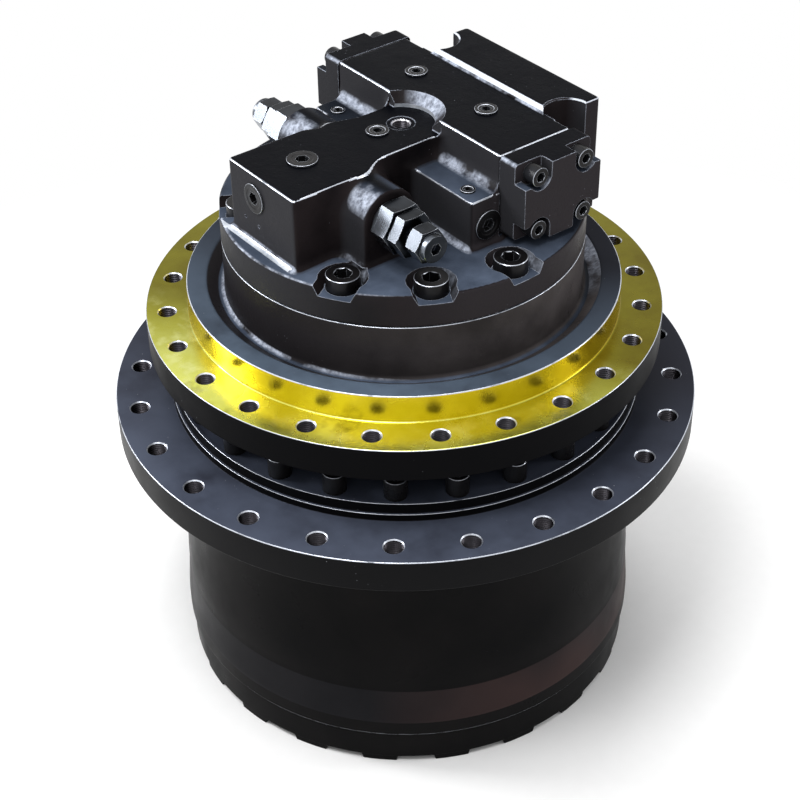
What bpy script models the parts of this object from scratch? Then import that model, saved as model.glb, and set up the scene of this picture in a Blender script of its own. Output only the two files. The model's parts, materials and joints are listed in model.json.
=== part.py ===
"""Final drive of a tracked excavator, standing on its end cover.

A two-speed hydraulic travel motor turns a two-stage planetary gear train inside a
ring gear drum. The track frame bolts to the frame flange and the sprocket bolts to
the hub. All lengths are metres. The axis of rotation is Z, and the end cover's lugs
stand on Z = 0. X runs along the long valve body, and Y points to the main ports.
"""

import math

import bmesh
import bpy
from mathutils import Matrix, Vector

# Resolution and clearances
ROUND = 36
MEDIUM_ROUND = 20
PIN_ROUND = 12
SMALL_ROUND = 10
HOLE_ROUND = 8
HEXAGON = 6
GAP = 0.0003
OVERRUN = 0.002
WELD_LIMIT = 0.00001
SHARP_ANGLE = math.radians(30)

# Gears, the same module in both stages
MODULE = 0.008
PRESSURE_ANGLE = math.radians(20)
RING_TEETH = 54
PLANET_TEETH = 21
SUN_TEETH = 12
PLANET_COUNT = 3
ADDENDUM = 0.0064
DEDENDUM = 0.0084
FLANK_PLAY = 0.00025
RING_FLANK_PLAY = 0.0006
CENTRE_DISTANCE = MODULE * (SUN_TEETH + PLANET_TEETH) / 2
RING_PITCH_RADIUS = MODULE * RING_TEETH / 2
RING_TIP_RADIUS = RING_PITCH_RADIUS - ADDENDUM
RING_ROOT_RADIUS = RING_PITCH_RADIUS + DEDENDUM
PLANET_TIP_RADIUS = MODULE * PLANET_TEETH / 2 + ADDENDUM
SUN_ROOT_RADIUS = MODULE * SUN_TEETH / 2 - DEDENDUM

# Ring gear drum
DRUM_NECK_WALL = 0.0223
DRUM_TAPER = 0.011
DRUM_FLARE = 0.005
DRUM_FLARE_HEIGHT = 0.020
DRUM_CORE_INSET = 0.010
DRUM_BORE_RADIUS = RING_ROOT_RADIUS + GAP
DRUM_NECK_RADIUS = DRUM_BORE_RADIUS + DRUM_NECK_WALL
DRUM_RADIUS = DRUM_NECK_RADIUS + DRUM_TAPER
DRUM_TOP_RADIUS = DRUM_NECK_RADIUS + DRUM_FLARE
DRUM_CORE_RADIUS = RING_TIP_RADIUS - DRUM_CORE_INSET
SHOULDER_STEPS = 4

# End cover
LUG_COUNT = 20
LUG_HEIGHT = 0.007
LUG_WIDTH = 0.037
LUG_SLOPE = 0.0025
LUG_DEPTH = 0.030
LUG_PHASE = math.radians(8.9)
COVER_STEP = 0.003
COVER_RADIUS = DRUM_RADIUS - COVER_STEP
COVER_PLATE = 0.015
COVER_FLOOR = LUG_HEIGHT + COVER_PLATE
COVER_RIM_HEIGHT = 0.0218
COVER_TOP = COVER_FLOOR + COVER_RIM_HEIGHT
COVER_WALL = 0.050
COVER_EDGE = 0.003
THRUST_PAD_RADIUS = 0.030
THRUST_PAD_HEIGHT = 0.012
THRUST_PAD_TOP = COVER_FLOOR + THRUST_PAD_HEIGHT
LEVEL_PLUG_CIRCLE = 0.135
LEVEL_PLUG_RADIUS = 0.018
LEVEL_PLUG_SHANK_RADIUS = 0.012
LEVEL_PLUG_HEAD_HEIGHT = 0.005
LEVEL_PLUG_SHANK_LENGTH = 0.012
LEVEL_PLUG_ANGLES = (math.radians(90), math.radians(270))

# Heights of the drum's shoulder, above the end cover
SHOULDER_RISE = 0.0462
SHOULDER_HEIGHT = 0.075
DRUM_BOTTOM = COVER_TOP + GAP
DRUM_SHOULDER = COVER_TOP + SHOULDER_RISE
DRUM_NECK_START = DRUM_SHOULDER + SHOULDER_HEIGHT

# Stage 1, from its planets up to its carrier plate
STAGE_1_RISE = 0.028
STAGE_1_BOTTOM = COVER_FLOOR + STAGE_1_RISE
STAGE_1_WIDTH = 0.040
STAGE_1_TOP = STAGE_1_BOTTOM + STAGE_1_WIDTH
STAGE_1_PLATE_GAP = 0.002
STAGE_1_PLATE = 0.014
STAGE_1_PLATE_BOTTOM = STAGE_1_TOP + STAGE_1_PLATE_GAP
STAGE_1_PLATE_TOP = STAGE_1_PLATE_BOTTOM + STAGE_1_PLATE
STAGE_1_PLATE_RADIUS = 0.160
STAGE_1_PIN_RADIUS = 0.029
PIN_HEAD_RADIUS = 0.036
PIN_HEAD_HEIGHT = 0.005
PIN_HEAD_GAP = 0.0006
SPLINE_HUB_RADIUS = 0.0355
SUN_BORE_RADIUS = 0.026

# Stage 2, whose carrier is bolted to the spindle
STAGE_CLEARANCE = 0.002
STAGE_2_PLATE = 0.012
STAGE_2_END_PLAY = 0.001
STAGE_2_WIDTH = 0.068
STAGE_2_TOP_PLATE = 0.0237
STAGE_2_PLATE_BOTTOM = STAGE_1_PLATE_TOP + STAGE_CLEARANCE
STAGE_2_WINDOW_BOTTOM = STAGE_2_PLATE_BOTTOM + STAGE_2_PLATE
STAGE_2_BOTTOM = STAGE_2_WINDOW_BOTTOM + STAGE_2_END_PLAY
STAGE_2_TOP = STAGE_2_BOTTOM + STAGE_2_WIDTH
STAGE_2_WINDOW_TOP = STAGE_2_TOP + STAGE_2_END_PLAY
STAGE_2_CARRIER_TOP = STAGE_2_WINDOW_TOP + STAGE_2_TOP_PLATE
STAGE_2_CARRIER_BORE = 0.060
STAGE_2_CARRIER_RADIUS = 0.178
STAGE_2_PIN_RADIUS = 0.0335
STAGE_2_WINDOW_PLAY = 0.0026
STAGE_2_WINDOW_RADIUS = PLANET_TIP_RADIUS + STAGE_2_WINDOW_PLAY
TEETH_OVERLAP = 0.016
TEETH_TOP = STAGE_2_TOP + TEETH_OVERLAP

# Bearings between the spindle and the hub
SPINDLE_BOTTOM = STAGE_2_CARRIER_TOP + GAP
NUT_SETBACK = 0.0005
NUT_HEIGHT = 0.0102
NUT_WALL = 0.023
NUT_SLOT_COUNT = 8
NUT_SLOT_WIDTH = 0.014
NUT_SLOT_DEPTH = 0.005
NUT_BOTTOM = SPINDLE_BOTTOM + NUT_SETBACK
NUT_TOP = NUT_BOTTOM + NUT_HEIGHT
BEARING_WIDTH = 0.042
BEARING_SPACING = 0.0765
ROLLER_MARGIN = 0.004
LOWER_BEARING_BOTTOM = NUT_TOP + GAP
UPPER_BEARING_BOTTOM = LOWER_BEARING_BOTTOM + BEARING_SPACING
UPPER_BEARING_TOP = UPPER_BEARING_BOTTOM + BEARING_WIDTH
SKIRT_WALL = 0.0244
BEARING_OUTER_WALL = 0.017
ROLLER_SPACE = 0.018
BEARING_RIB_DEPTH = 0.007
BEARING_INNER_WALL = 0.015
NECK_STEP = 0.010
SKIRT_RADIUS = DRUM_BORE_RADIUS - GAP
BEARING_SEAT_RADIUS = SKIRT_RADIUS - SKIRT_WALL
BEARING_OUTER_RADIUS = BEARING_SEAT_RADIUS - BEARING_OUTER_WALL
BEARING_INNER_RADIUS = BEARING_OUTER_RADIUS - ROLLER_SPACE
BEARING_RIB = BEARING_INNER_RADIUS + BEARING_RIB_DEPTH
NECK_RADIUS = BEARING_INNER_RADIUS - BEARING_INNER_WALL
NUT_THREAD_RADIUS = NECK_RADIUS - NECK_STEP
NUT_RADIUS = NUT_THREAD_RADIUS + NUT_WALL

# Floating face seal, outward from the spindle's waist
SPINDLE_SHOULDER_WIDTH = 0.037
SPINDLE_WAIST_RADIUS = NECK_RADIUS + SPINDLE_SHOULDER_WIDTH
SEAL_CLEARANCE = 0.003
SEAL_RING_WIDTH = 0.0125
SEAL_FLANGE_STEP = 0.004
TORIC_WIDTH = 0.0105
SEAL_RING_INNER = SPINDLE_WAIST_RADIUS + SEAL_CLEARANCE
SEAL_RING_OUTER = SEAL_RING_INNER + SEAL_RING_WIDTH
SEAL_BODY_RADIUS = SEAL_RING_OUTER - SEAL_FLANGE_STEP
SEAL_SEAT_RADIUS = SEAL_BODY_RADIUS + TORIC_WIDTH
TORIC_OUTER = SEAL_SEAT_RADIUS - GAP

# Hub with the sprocket flange
SKIRT_LIP = 0.003
SKIRT_BOTTOM = LOWER_BEARING_BOTTOM - SKIRT_LIP
FLANGE_RISE = 0.0061
FLANGE_THICKNESS = 0.0369
FLANGE_BOTTOM = UPPER_BEARING_BOTTOM + FLANGE_RISE
FLANGE_TOP = FLANGE_BOTTOM + FLANGE_THICKNESS
FLANGE_EDGE = 0.0025
DRUM_SPIGOT_DEPTH = 0.002
DRUM_SPIGOT_RADIUS = DRUM_TOP_RADIUS + GAP
DRUM_SEAT = FLANGE_BOTTOM + DRUM_SPIGOT_DEPTH
DRUM_TOP = DRUM_SEAT - GAP
COLLAR_WALL = 0.041
COLLAR_RADIUS = SEAL_SEAT_RADIUS + COLLAR_WALL
COLLAR_RIM = 0.0035
COLLAR_RIM_HEIGHT = 0.001
COLLAR_HEIGHT = 0.0106
STEP_WIDTH = 0.0025
STEP_HEIGHT = 0.0079
STEP_RADIUS = COLLAR_RADIUS + STEP_WIDTH
STEP_TOP = FLANGE_TOP + STEP_HEIGHT
COLLAR_SEAT = STEP_TOP + COLLAR_HEIGHT
COLLAR_TOP = COLLAR_SEAT + COLLAR_RIM_HEIGHT
FLANGE_WIDTH = 0.0615
FLANGE_RADIUS = STEP_RADIUS + FLANGE_WIDTH
SPROCKET_HOLE_COUNT = 24
SPROCKET_HOLE_INSET = 0.024
SPROCKET_HOLE_CIRCLE = FLANGE_RADIUS - SPROCKET_HOLE_INSET
SPROCKET_HOLE_RADIUS = 0.0088
SPROCKET_HOLE_PHASE = math.radians(4.8)
HUB_BOLT_COUNT = 24
HUB_BOLT_INSET = 0.016
HUB_BOLT_CIRCLE = COLLAR_RADIUS - HUB_BOLT_INSET
HUB_BOLT_HEAD_RADIUS = 0.012
HUB_BOLT_HEAD_HEIGHT = 0.0222
HUB_BOLT_HEAD_TOP = COLLAR_SEAT + HUB_BOLT_HEAD_HEIGHT
BEARING_SHOULDER = 0.010
BEARING_RIB_RADIUS = BEARING_SEAT_RADIUS - BEARING_SHOULDER
HUB_LIP_DEPTH = 0.008
HUB_LIP_THICKNESS = 0.0052
HUB_LIP_RADIUS = BEARING_SEAT_RADIUS - HUB_LIP_DEPTH
HUB_LIP_BOTTOM = UPPER_BEARING_TOP + GAP
SEAL_SEAT_FLOOR = HUB_LIP_BOTTOM + HUB_LIP_THICKNESS

# Floating face seal, upward from its seat in the hub
SEAL_RING_HEIGHT = 0.017
SEAL_FACE = SEAL_SEAT_FLOOR + SEAL_RING_HEIGHT
SEAL_POCKET_TOP = SEAL_FACE + SEAL_RING_HEIGHT
SEAL_FLANGE_HEIGHT = 0.004
TORIC_HEIGHT = 0.0085

# Radii of the motor, outward from its cylinder block to the case
CYLINDER_BLOCK_RADIUS = 0.080
MOTOR_CHAMBER_SPACE = 0.032
DISC_LEDGE_WIDTH = 0.024
PISTON_STEP = 0.010
COVER_SCREW_OFFSET = 0.017
COVER_SCREW_EDGE = 0.0245
GROOVE_WIDTH = 0.0059
MOTOR_CHAMBER_RADIUS = CYLINDER_BLOCK_RADIUS + MOTOR_CHAMBER_SPACE
DISC_CHAMBER_RADIUS = MOTOR_CHAMBER_RADIUS + DISC_LEDGE_WIDTH
PISTON_CHAMBER_RADIUS = DISC_CHAMBER_RADIUS + PISTON_STEP
COVER_SCREW_CIRCLE = PISTON_CHAMBER_RADIUS + COVER_SCREW_OFFSET
CASE_RADIUS = COVER_SCREW_CIRCLE + COVER_SCREW_EDGE
GROOVE_RADIUS = CASE_RADIUS + GROOVE_WIDTH

# Spindle housing with the frame flange
CORE_RADIUS = 0.030
SPINDLE_SHOULDER = UPPER_BEARING_TOP + GAP
SEAL_BOSS_WALL = 0.007
SEAL_BOSS_RADIUS = SEAL_SEAT_RADIUS + SEAL_BOSS_WALL
SEAL_BOSS_CLEARANCE = 0.004
SEAL_BOSS_BOTTOM = COLLAR_TOP + SEAL_BOSS_CLEARANCE
SEAL_POCKET_ROOF = 0.0284
FRAME_FLANGE_THICKNESS = 0.036
FRAME_FLANGE_BOTTOM = SEAL_POCKET_TOP + SEAL_POCKET_ROOF
FRAME_FLANGE_TOP = FRAME_FLANGE_BOTTOM + FRAME_FLANGE_THICKNESS
FRAME_FLANGE_EDGE = 0.0015
PILOT_SLOPE = 0.0134
PILOT_WALL = 0.0206
PILOT_HEIGHT = 0.0304
PILOT_EDGE = 0.0025
PILOT_INNER_RADIUS = GROOVE_RADIUS + PILOT_SLOPE
PILOT_RADIUS = PILOT_INNER_RADIUS + PILOT_WALL
PILOT_TOP = FRAME_FLANGE_TOP + PILOT_HEIGHT
FRAME_FLANGE_WIDTH = 0.0446
FRAME_FLANGE_RADIUS = PILOT_RADIUS + FRAME_FLANGE_WIDTH
FRAME_HOLE_COUNT = 24
FRAME_HOLE_INSET = 0.022
FRAME_HOLE_CIRCLE = FRAME_FLANGE_RADIUS - FRAME_HOLE_INSET
FRAME_HOLE_RADIUS = 0.0088
GROOVE_DEPTH = 0.0091
GROOVE_FLOOR = PILOT_TOP - GROOVE_DEPTH

# Motor case, the upper part of the spindle housing, with its chambers
CASE_HEIGHT = 0.0514
CASE_TOP = PILOT_TOP + CASE_HEIGHT
PISTON_CHAMBER_DEPTH = 0.0292
DISC_CHAMBER_DEPTH = 0.060
MOTOR_CHAMBER_DEPTH = 0.095
SHAFT_BEARING_DEPTH = 0.029
PISTON_LEDGE = CASE_TOP - PISTON_CHAMBER_DEPTH
DISC_LEDGE = PISTON_LEDGE - DISC_CHAMBER_DEPTH
MOTOR_CHAMBER_FLOOR = DISC_LEDGE - MOTOR_CHAMBER_DEPTH
SHAFT_BEARING_FLOOR = MOTOR_CHAMBER_FLOOR - SHAFT_BEARING_DEPTH
SHAFT_BEARING_RADIUS = 0.045
SHAFT_BORE_RADIUS = 0.040

# Drive shaft and hydraulic motor
SHAFT_RADIUS = 0.024
SHAFT_UPPER_RADIUS = 0.027
SHAFT_SETBACK = 0.0032
SHAFT_BOTTOM = THRUST_PAD_TOP + GAP
SHAFT_TOP = CASE_TOP - SHAFT_SETBACK
VALVE_PLATE_THICKNESS = 0.0169
VALVE_PLATE_MARGIN = 0.002
VALVE_PLATE_RADIUS = CYLINDER_BLOCK_RADIUS + VALVE_PLATE_MARGIN
CYLINDER_BLOCK_LENGTH = 0.100
CYLINDER_BLOCK_TOP = CASE_TOP - VALVE_PLATE_THICKNESS - GAP
CYLINDER_BLOCK_BOTTOM = CYLINDER_BLOCK_TOP - CYLINDER_BLOCK_LENGTH
CYLINDER_COUNT = 9
CYLINDER_INSET = 0.026
CYLINDER_CIRCLE = CYLINDER_BLOCK_RADIUS - CYLINDER_INSET
CYLINDER_RADIUS = 0.0105
CYLINDER_DEPTH = 0.070
SWASH_PIVOT_RISE = 0.031
SWASH_PIVOT_HEIGHT = MOTOR_CHAMBER_FLOOR + SWASH_PIVOT_RISE
SWASH_MARGIN = 0.004
SWASH_RADIUS = CYLINDER_BLOCK_RADIUS + SWASH_MARGIN
SWASH_HOLE_RADIUS = 0.038
SWASH_THICKNESS = 0.018
SWASH_TILT = math.radians(14)
ROCKER_RADIUS = SWASH_PIVOT_RISE - GAP
ROCKER_INNER = 0.044
ROCKER_WIDTH = 0.024
DISC_THICKNESS = 0.004
DISC_INNER_CLEARANCE = 0.020
DISC_OUTER_CLEARANCE = 0.004
FRICTION_DISC_COUNT = 2
BRAKE_PISTON_INNER = CYLINDER_BLOCK_RADIUS + DISC_INNER_CLEARANCE
BRAKE_HEAD_HEIGHT = 0.020

# Rear cover
COVER_SEAT = CASE_TOP + GAP
REAR_COVER_THICKNESS = 0.0357
REAR_COVER_TOP = COVER_SEAT + REAR_COVER_THICKNESS
BLOCK_RISE = 0.0065
BLOCK_FOOT = COVER_SEAT + BLOCK_RISE
BLOCK_CORNER = 0.004
CASTING_STEP = 0.002

# Counterbalance valve body, its spool and its end caps
VALVE_BODY_LEFT = -0.134
VALVE_BODY_RIGHT = 0.125
VALVE_BODY_FRONT = 0.021
VALVE_BODY_DEPTH = 0.089
VALVE_BODY_BACK = VALVE_BODY_FRONT + VALVE_BODY_DEPTH
CAP_CLEARANCE = 0.0072
CAP_DROP = 0.0421
CAP_RISE = 0.0415
CAP_FRONT_STEP = 0.001
CAP_BACK_STEP = 0.007
CAP_LENGTH = 0.039
CAP_CORNER = 0.007
CAP_FRONT = VALVE_BODY_FRONT - CAP_FRONT_STEP
CAP_BACK = VALVE_BODY_BACK + CAP_BACK_STEP
CAP_BOTTOM = REAR_COVER_TOP + CAP_CLEARANCE
SPOOL_Y_INSET = 0.047
SPOOL_Y = VALVE_BODY_FRONT + SPOOL_Y_INSET
SPOOL_HEIGHT = CAP_BOTTOM + CAP_DROP
VALVE_BODY_TOP = SPOOL_HEIGHT + CAP_RISE
SPOOL_BORE_RADIUS = 0.020
SPOOL_HALF_LENGTH = 0.085
SPOOL_LAND = 0.022
SPOOL_GROOVE_RADIUS = 0.013
CAP_SCREW_SIDE_INSET = 0.0195
CAP_SCREW_INSET = 0.0128
CAP_SCREW_HEAD_RADIUS = 0.0098
CAP_SCREW_HEAD_LENGTH = 0.015
CAP_NOTCH_RADIUS = 0.0135
CAP_NOTCH_DEPTH = 0.016
CAP_CHAMBER_RADIUS = 0.017
CAP_CHAMBER_DEPTH = 0.024

# Port slab behind the valve body
PORT_SLAB_HALF = 0.104
PORT_SLAB_DEPTH = 0.060
PORT_SLAB_STEP = 0.0054
PORT_SLAB_FRONT = VALVE_BODY_BACK - CASTING_STEP
PORT_SLAB_BACK = VALVE_BODY_BACK + PORT_SLAB_DEPTH
PORT_SLAB_TOP = VALVE_BODY_TOP + PORT_SLAB_STEP
SCALLOP_INSET = 0.001
SCALLOP_BACK = 0.017
SCALLOP_X = PORT_SLAB_HALF - SCALLOP_INSET
SCALLOP_Y = VALVE_BODY_BACK + SCALLOP_BACK
SCALLOP_RADIUS = 0.024
MAIN_PORT_X = 0.050
MAIN_PORT_RISE = 0.0408
MAIN_PORT_HEIGHT = REAR_COVER_TOP + MAIN_PORT_RISE
MAIN_PORT_RADIUS = 0.0165
MAIN_PORT_DEPTH = 0.045
MAIN_PORT_BOLT_X = 0.01385
MAIN_PORT_BOLT_Z = 0.0286
MAIN_PORT_BOLT_RADIUS = 0.0055
MAIN_PORT_BOLT_DEPTH = 0.024

# Side block in front of the valve body
SIDE_BLOCK_HALF = 0.128
SIDE_BLOCK_FRONT = -0.016
SIDE_BLOCK_HEIGHT = 0.0532
SIDE_BLOCK_BACK = CAP_FRONT - CASTING_STEP
SIDE_BLOCK_TOP = REAR_COVER_TOP + SIDE_BLOCK_HEIGHT

# Relief valve block with its bosses and its open pilot port
RELIEF_BLOCK_LEFT = -0.058
RELIEF_BLOCK_RIGHT = 0.052
RELIEF_BLOCK_FRONT = -0.1686
RELIEF_BLOCK_NECK = -0.058
RELIEF_BLOCK_HEIGHT = 0.0772
RELIEF_BLOCK_TOP = REAR_COVER_TOP + RELIEF_BLOCK_HEIGHT
RELIEF_NECK_LEFT = -0.045
RELIEF_NECK_RIGHT = 0.035
RELIEF_AXIS_RISE = 0.0432
RELIEF_AXIS_HEIGHT = REAR_COVER_TOP + RELIEF_AXIS_RISE
RELIEF_BOSS_RADIUS = 0.031
RELIEF_BOSS_STEPS = 8
FRONT_RELIEF_Y = -0.083
BACK_RELIEF_Y = -0.052
FRONT_BOSS_END = 0.088
BACK_BOSS_END = -0.102
OPEN_PORT_X = -0.007
OPEN_PORT_Y = 0.0043
OPEN_PORT_RADIUS = 0.0095
OPEN_PORT_DEPTH = 0.030
PORT_FACE_RADIUS = 0.0145
PORT_FACE_DEPTH = 0.0005
RECESS_RADIUS = 0.043

# Cover screws in their pockets
COVER_SCREW_ANGLES = tuple(math.radians(a) for a in (-58.4, -28.4, 1.6, 50, 130, 178.4, 208.4, 238.4))
COVER_SCREW_STAND = 0.0043
COVER_SCREW_HEAD_RADIUS = 0.017
COVER_SCREW_HEAD_TOP = REAR_COVER_TOP + COVER_SCREW_STAND
COVER_SCREW_HEAD_HEIGHT = 0.022
COVER_SCREW_SEAT = COVER_SCREW_HEAD_TOP - COVER_SCREW_HEAD_HEIGHT
COVER_SCREW_SHANK_RADIUS = 0.011
COVER_SCREW_LENGTH = 0.040
COVER_SCREW_SOCKET_RADIUS = 0.0098
COVER_SCREW_SOCKET_DEPTH = 0.012
POCKET_DEPTH = 0.0107
POCKET_MARGIN = 0.007
POCKET_FLOOR = REAR_COVER_TOP - POCKET_DEPTH
POCKET_RADIUS = COVER_SCREW_HEAD_RADIUS + POCKET_MARGIN
POCKET_MOUTH_MARGIN = 0.002
POCKET_HALF_WIDTH = COVER_SCREW_HEAD_RADIUS + POCKET_MOUTH_MARGIN
COUNTERBORE_PLAY = 0.0005
COUNTERBORE_RADIUS = COVER_SCREW_HEAD_RADIUS + COUNTERBORE_PLAY

# Relief valves
CARTRIDGE_NOSE_RADIUS = 0.016
CARTRIDGE_NOSE_LENGTH = 0.026
CARTRIDGE_FLATS = 0.046
CARTRIDGE_LENGTH = 0.024
LOCK_NUT_FLATS = 0.041
LOCK_NUT_LENGTH = 0.0145
ADJUSTER_STEM_RADIUS = 0.0105
ADJUSTER_STEM_DEPTH = 0.012
ADJUSTER_NECK = 0.006
ADJUSTER_FLATS = 0.032
ADJUSTER_HEX_LENGTH = 0.017
ADJUSTER_DISC_RADIUS = 0.014
ADJUSTER_DISC_LENGTH = 0.007
ADJUSTER_SOCKET_RADIUS = 0.0062
ADJUSTER_SOCKET_DEPTH = 0.006

# Socket plugs, each with a head radius, a shank radius and a socket radius
PLUG_HEAD_HEIGHT = 0.0018
PLUG_SHANK_LENGTH = 0.012
PLUG_SOCKET_DEPTH = 0.007
LARGE_PLUG_HEAD = 0.0155
LARGE_PLUG_SHANK = 0.011
LARGE_PLUG_SOCKET = 0.0070
LARGE_PLUG = (LARGE_PLUG_HEAD, LARGE_PLUG_SHANK, LARGE_PLUG_SOCKET)
SMALL_PLUG_HEAD = 0.0117
SMALL_PLUG_SHANK = 0.008
SMALL_PLUG_SOCKET = 0.0052
SMALL_PLUG = (SMALL_PLUG_HEAD, SMALL_PLUG_SHANK, SMALL_PLUG_SOCKET)
VALVE_PLUG_SHANK = 0.009
VALVE_PLUG = (SMALL_PLUG_HEAD, VALVE_PLUG_SHANK, SMALL_PLUG_SOCKET)
TINY_PLUG_HEAD = 0.0075
TINY_PLUG_SHANK = 0.005
TINY_PLUG_SOCKET = 0.0035
TINY_PLUG = (TINY_PLUG_HEAD, TINY_PLUG_SHANK, TINY_PLUG_SOCKET)

# Places of the plugs
RELIEF_PLUG_X = -0.008
RELIEF_FRONT_PLUG_Y = -0.1156
RELIEF_NECK_PLUG_Y = -0.0245
VALVE_LEFT_PLUG_X = -0.064
VALVE_LEFT_PLUG_Y = 0.069
VALVE_RIGHT_PLUG_X = 0.045
VALVE_RIGHT_PLUG_Y = 0.071
FRONT_PLUG_X = -0.0144
FRONT_PLUG_RISE = 0.0515
FRONT_PLUG_HEIGHT = REAR_COVER_TOP + FRONT_PLUG_RISE
SIDE_PLUG_Y = 0.0044
SIDE_PLUG_RISE = 0.0236
SIDE_PLUG_HEIGHT = REAR_COVER_TOP + SIDE_PLUG_RISE
LEDGE_PLUG_X = 0.1055
LEDGE_PLUG_Y = -0.002

ALONG_X = Matrix(((0, 0, 1), (1, 0, 0), (0, 1, 0))).to_4x4()
ALONG_MINUS_X = Matrix.Rotation(math.pi, 4, 'Z') @ ALONG_X
ALONG_Y = Matrix.Rotation(math.pi / 2, 4, 'Z') @ ALONG_X
ALONG_MINUS_Y = Matrix.Rotation(-math.pi / 2, 4, 'Z') @ ALONG_X
UPRIGHT = Matrix.Identity(4)

MATERIALS = {
    "black_paint": ((0.012, 0.013, 0.016), 0.30, 0.0),
    "cast_black": ((0.020, 0.021, 0.024), 0.45, 0.0),
    "zinc_yellow": ((0.62, 0.55, 0.03), 0.35, 0.8),
    "dark_steel": ((0.05, 0.052, 0.058), 0.30, 0.9),
    "bright_steel": ((0.42, 0.45, 0.50), 0.28, 1.0),
    "gear_steel": ((0.30, 0.30, 0.31), 0.35, 1.0),
    "bearing_steel": ((0.55, 0.56, 0.58), 0.20, 1.0),
    "bronze": ((0.55, 0.36, 0.16), 0.35, 1.0),
    "brake_lining": ((0.16, 0.12, 0.09), 0.80, 0.0),
    "seal_rubber": ((0.02, 0.02, 0.02), 0.70, 0.0),
}


def clear_scene():
    """Remove every object, and give the parts and the cutters a collection each."""
    for item in list(bpy.data.objects):
        bpy.data.objects.remove(item, do_unlink=True)
    groups = []
    for name in ("final_drive", "cutters"):
        group = bpy.data.collections.new(name)
        bpy.context.scene.collection.children.link(group)
        groups.append(group)
    return groups


PARTS, CUTTERS = clear_scene()


def material(name):
    """A Principled material, made once and shared."""
    if name in bpy.data.materials:
        return bpy.data.materials[name]
    colour, roughness, metallic = MATERIALS[name]
    made = bpy.data.materials.new(name)
    made.use_nodes = True
    shader = made.node_tree.nodes["Principled BSDF"]
    shader.inputs["Base Color"].default_value = (*colour, 1)
    shader.inputs["Roughness"].default_value = roughness
    shader.inputs["Metallic"].default_value = metallic
    return made


def add_object(name, mesh, place=UPRIGHT):
    """A new object in the parts collection."""
    item = bpy.data.objects.new(name, mesh)
    item.matrix_world = place
    PARTS.objects.link(item)
    return item


def finish(item, finish_name):
    """Give a part its material."""
    item.data.materials.clear()
    item.data.materials.append(material(finish_name))
    return item


def at(x, y, z):
    """A move without rotation."""
    return Matrix.Translation((x, y, z))


def on_circle(radius, angle):
    """A point in the XY plane."""
    return radius * math.cos(angle), radius * math.sin(angle)


def bore(radius, segments=MEDIUM_ROUND):
    """The corner radius of a polygon whose flats touch the given circle."""
    return radius / math.cos(math.pi / segments)


def hex_radius(flats):
    """The corner radius of a hexagon of the given width across flats."""
    return flats / math.sqrt(3)


def turned(name, profile, segments=ROUND, place=UPRIGHT):
    """A profile of (radius, height) points, outer side from top to bottom, turned about Z."""
    mesh = bpy.data.meshes.new(name)
    on_axis = min(abs(radius) for radius, height in profile) < WELD_LIMIT
    points = [(radius, 0, height) for radius, height in profile]
    corners = list(range(len(points)))
    edges = list(zip(corners, corners[1:]))
    if not on_axis:
        edges.append((corners[-1], corners[0]))
    mesh.from_pydata(points, edges, [])
    item = add_object(name, mesh, place)
    screw = item.modifiers.new("turn", 'SCREW')
    screw.steps = segments
    screw.render_steps = segments
    screw.use_merge_vertices = True
    screw.merge_threshold = WELD_LIMIT
    screw.use_smooth_shade = True
    return item


def disc(name, radius, bottom, top, segments=ROUND, place=UPRIGHT):
    """A plain turned disc."""
    return turned(name, [(0, top), (radius, top), (radius, bottom), (0, bottom)], segments, place)


def ring(name, inner, outer, bottom, top, segments=MEDIUM_ROUND, place=UPRIGHT):
    """A plain turned ring."""
    profile = [(inner, top), (outer, top), (outer, bottom), (inner, bottom)]
    return turned(name, profile, segments, place)


def cylinders(name, places, radius, bottom, top, segments=HOLE_ROUND):
    """Several equal cylinders in one mesh, one for each place matrix."""
    builder = bmesh.new()
    for place in places:
        middle = place @ at(0, 0, (bottom + top) / 2)
        bmesh.ops.create_cone(builder, cap_ends=True, segments=segments, radius1=radius,
                              radius2=radius, depth=top - bottom, matrix=middle)
    mesh = bpy.data.meshes.new(name)
    builder.to_mesh(mesh)
    builder.free()
    return add_object(name, mesh)


def extruded(name, outlines, bottom, top, place=UPRIGHT):
    """A flat outline, with the holes inside it, extruded from bottom to top along local Z."""
    curve = bpy.data.curves.new(name, 'CURVE')
    curve.dimensions = '2D'
    curve.fill_mode = 'BOTH'
    curve.extrude = (top - bottom) / 2
    for outline in outlines:
        spline = curve.splines.new('POLY')
        spline.points.add(len(outline) - 1)
        for point, (x, y) in zip(spline.points, outline):
            point.co = (x, y, 0, 1)
        spline.use_cyclic_u = True
    drawn = bpy.data.objects.new(name, curve)
    PARTS.objects.link(drawn)
    bpy.context.view_layer.update()
    graph = bpy.context.evaluated_depsgraph_get()
    mesh = bpy.data.meshes.new_from_object(drawn.evaluated_get(graph))
    bpy.data.objects.remove(drawn, do_unlink=True)
    builder = bmesh.new()
    builder.from_mesh(mesh)
    bmesh.ops.remove_doubles(builder, verts=builder.verts, dist=WELD_LIMIT)
    bmesh.ops.translate(builder, verts=builder.verts, vec=Vector((0, 0, (top + bottom) / 2)))
    bmesh.ops.recalc_face_normals(builder, faces=builder.faces)
    builder.to_mesh(mesh)
    builder.free()
    mesh.name = name
    return add_object(name, mesh, place)


def box(name, low, high, place=UPRIGHT):
    """A box between two corners."""
    size = [b - a for a, b in zip(low, high)]
    centre = [(a + b) / 2 for a, b in zip(low, high)]
    builder = bmesh.new()
    scale = Matrix.Diagonal((*size, 1))
    bmesh.ops.create_cube(builder, size=1, matrix=Matrix.Translation(centre) @ scale)
    mesh = bpy.data.meshes.new(name)
    builder.to_mesh(mesh)
    builder.free()
    return add_object(name, mesh, place)


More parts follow.
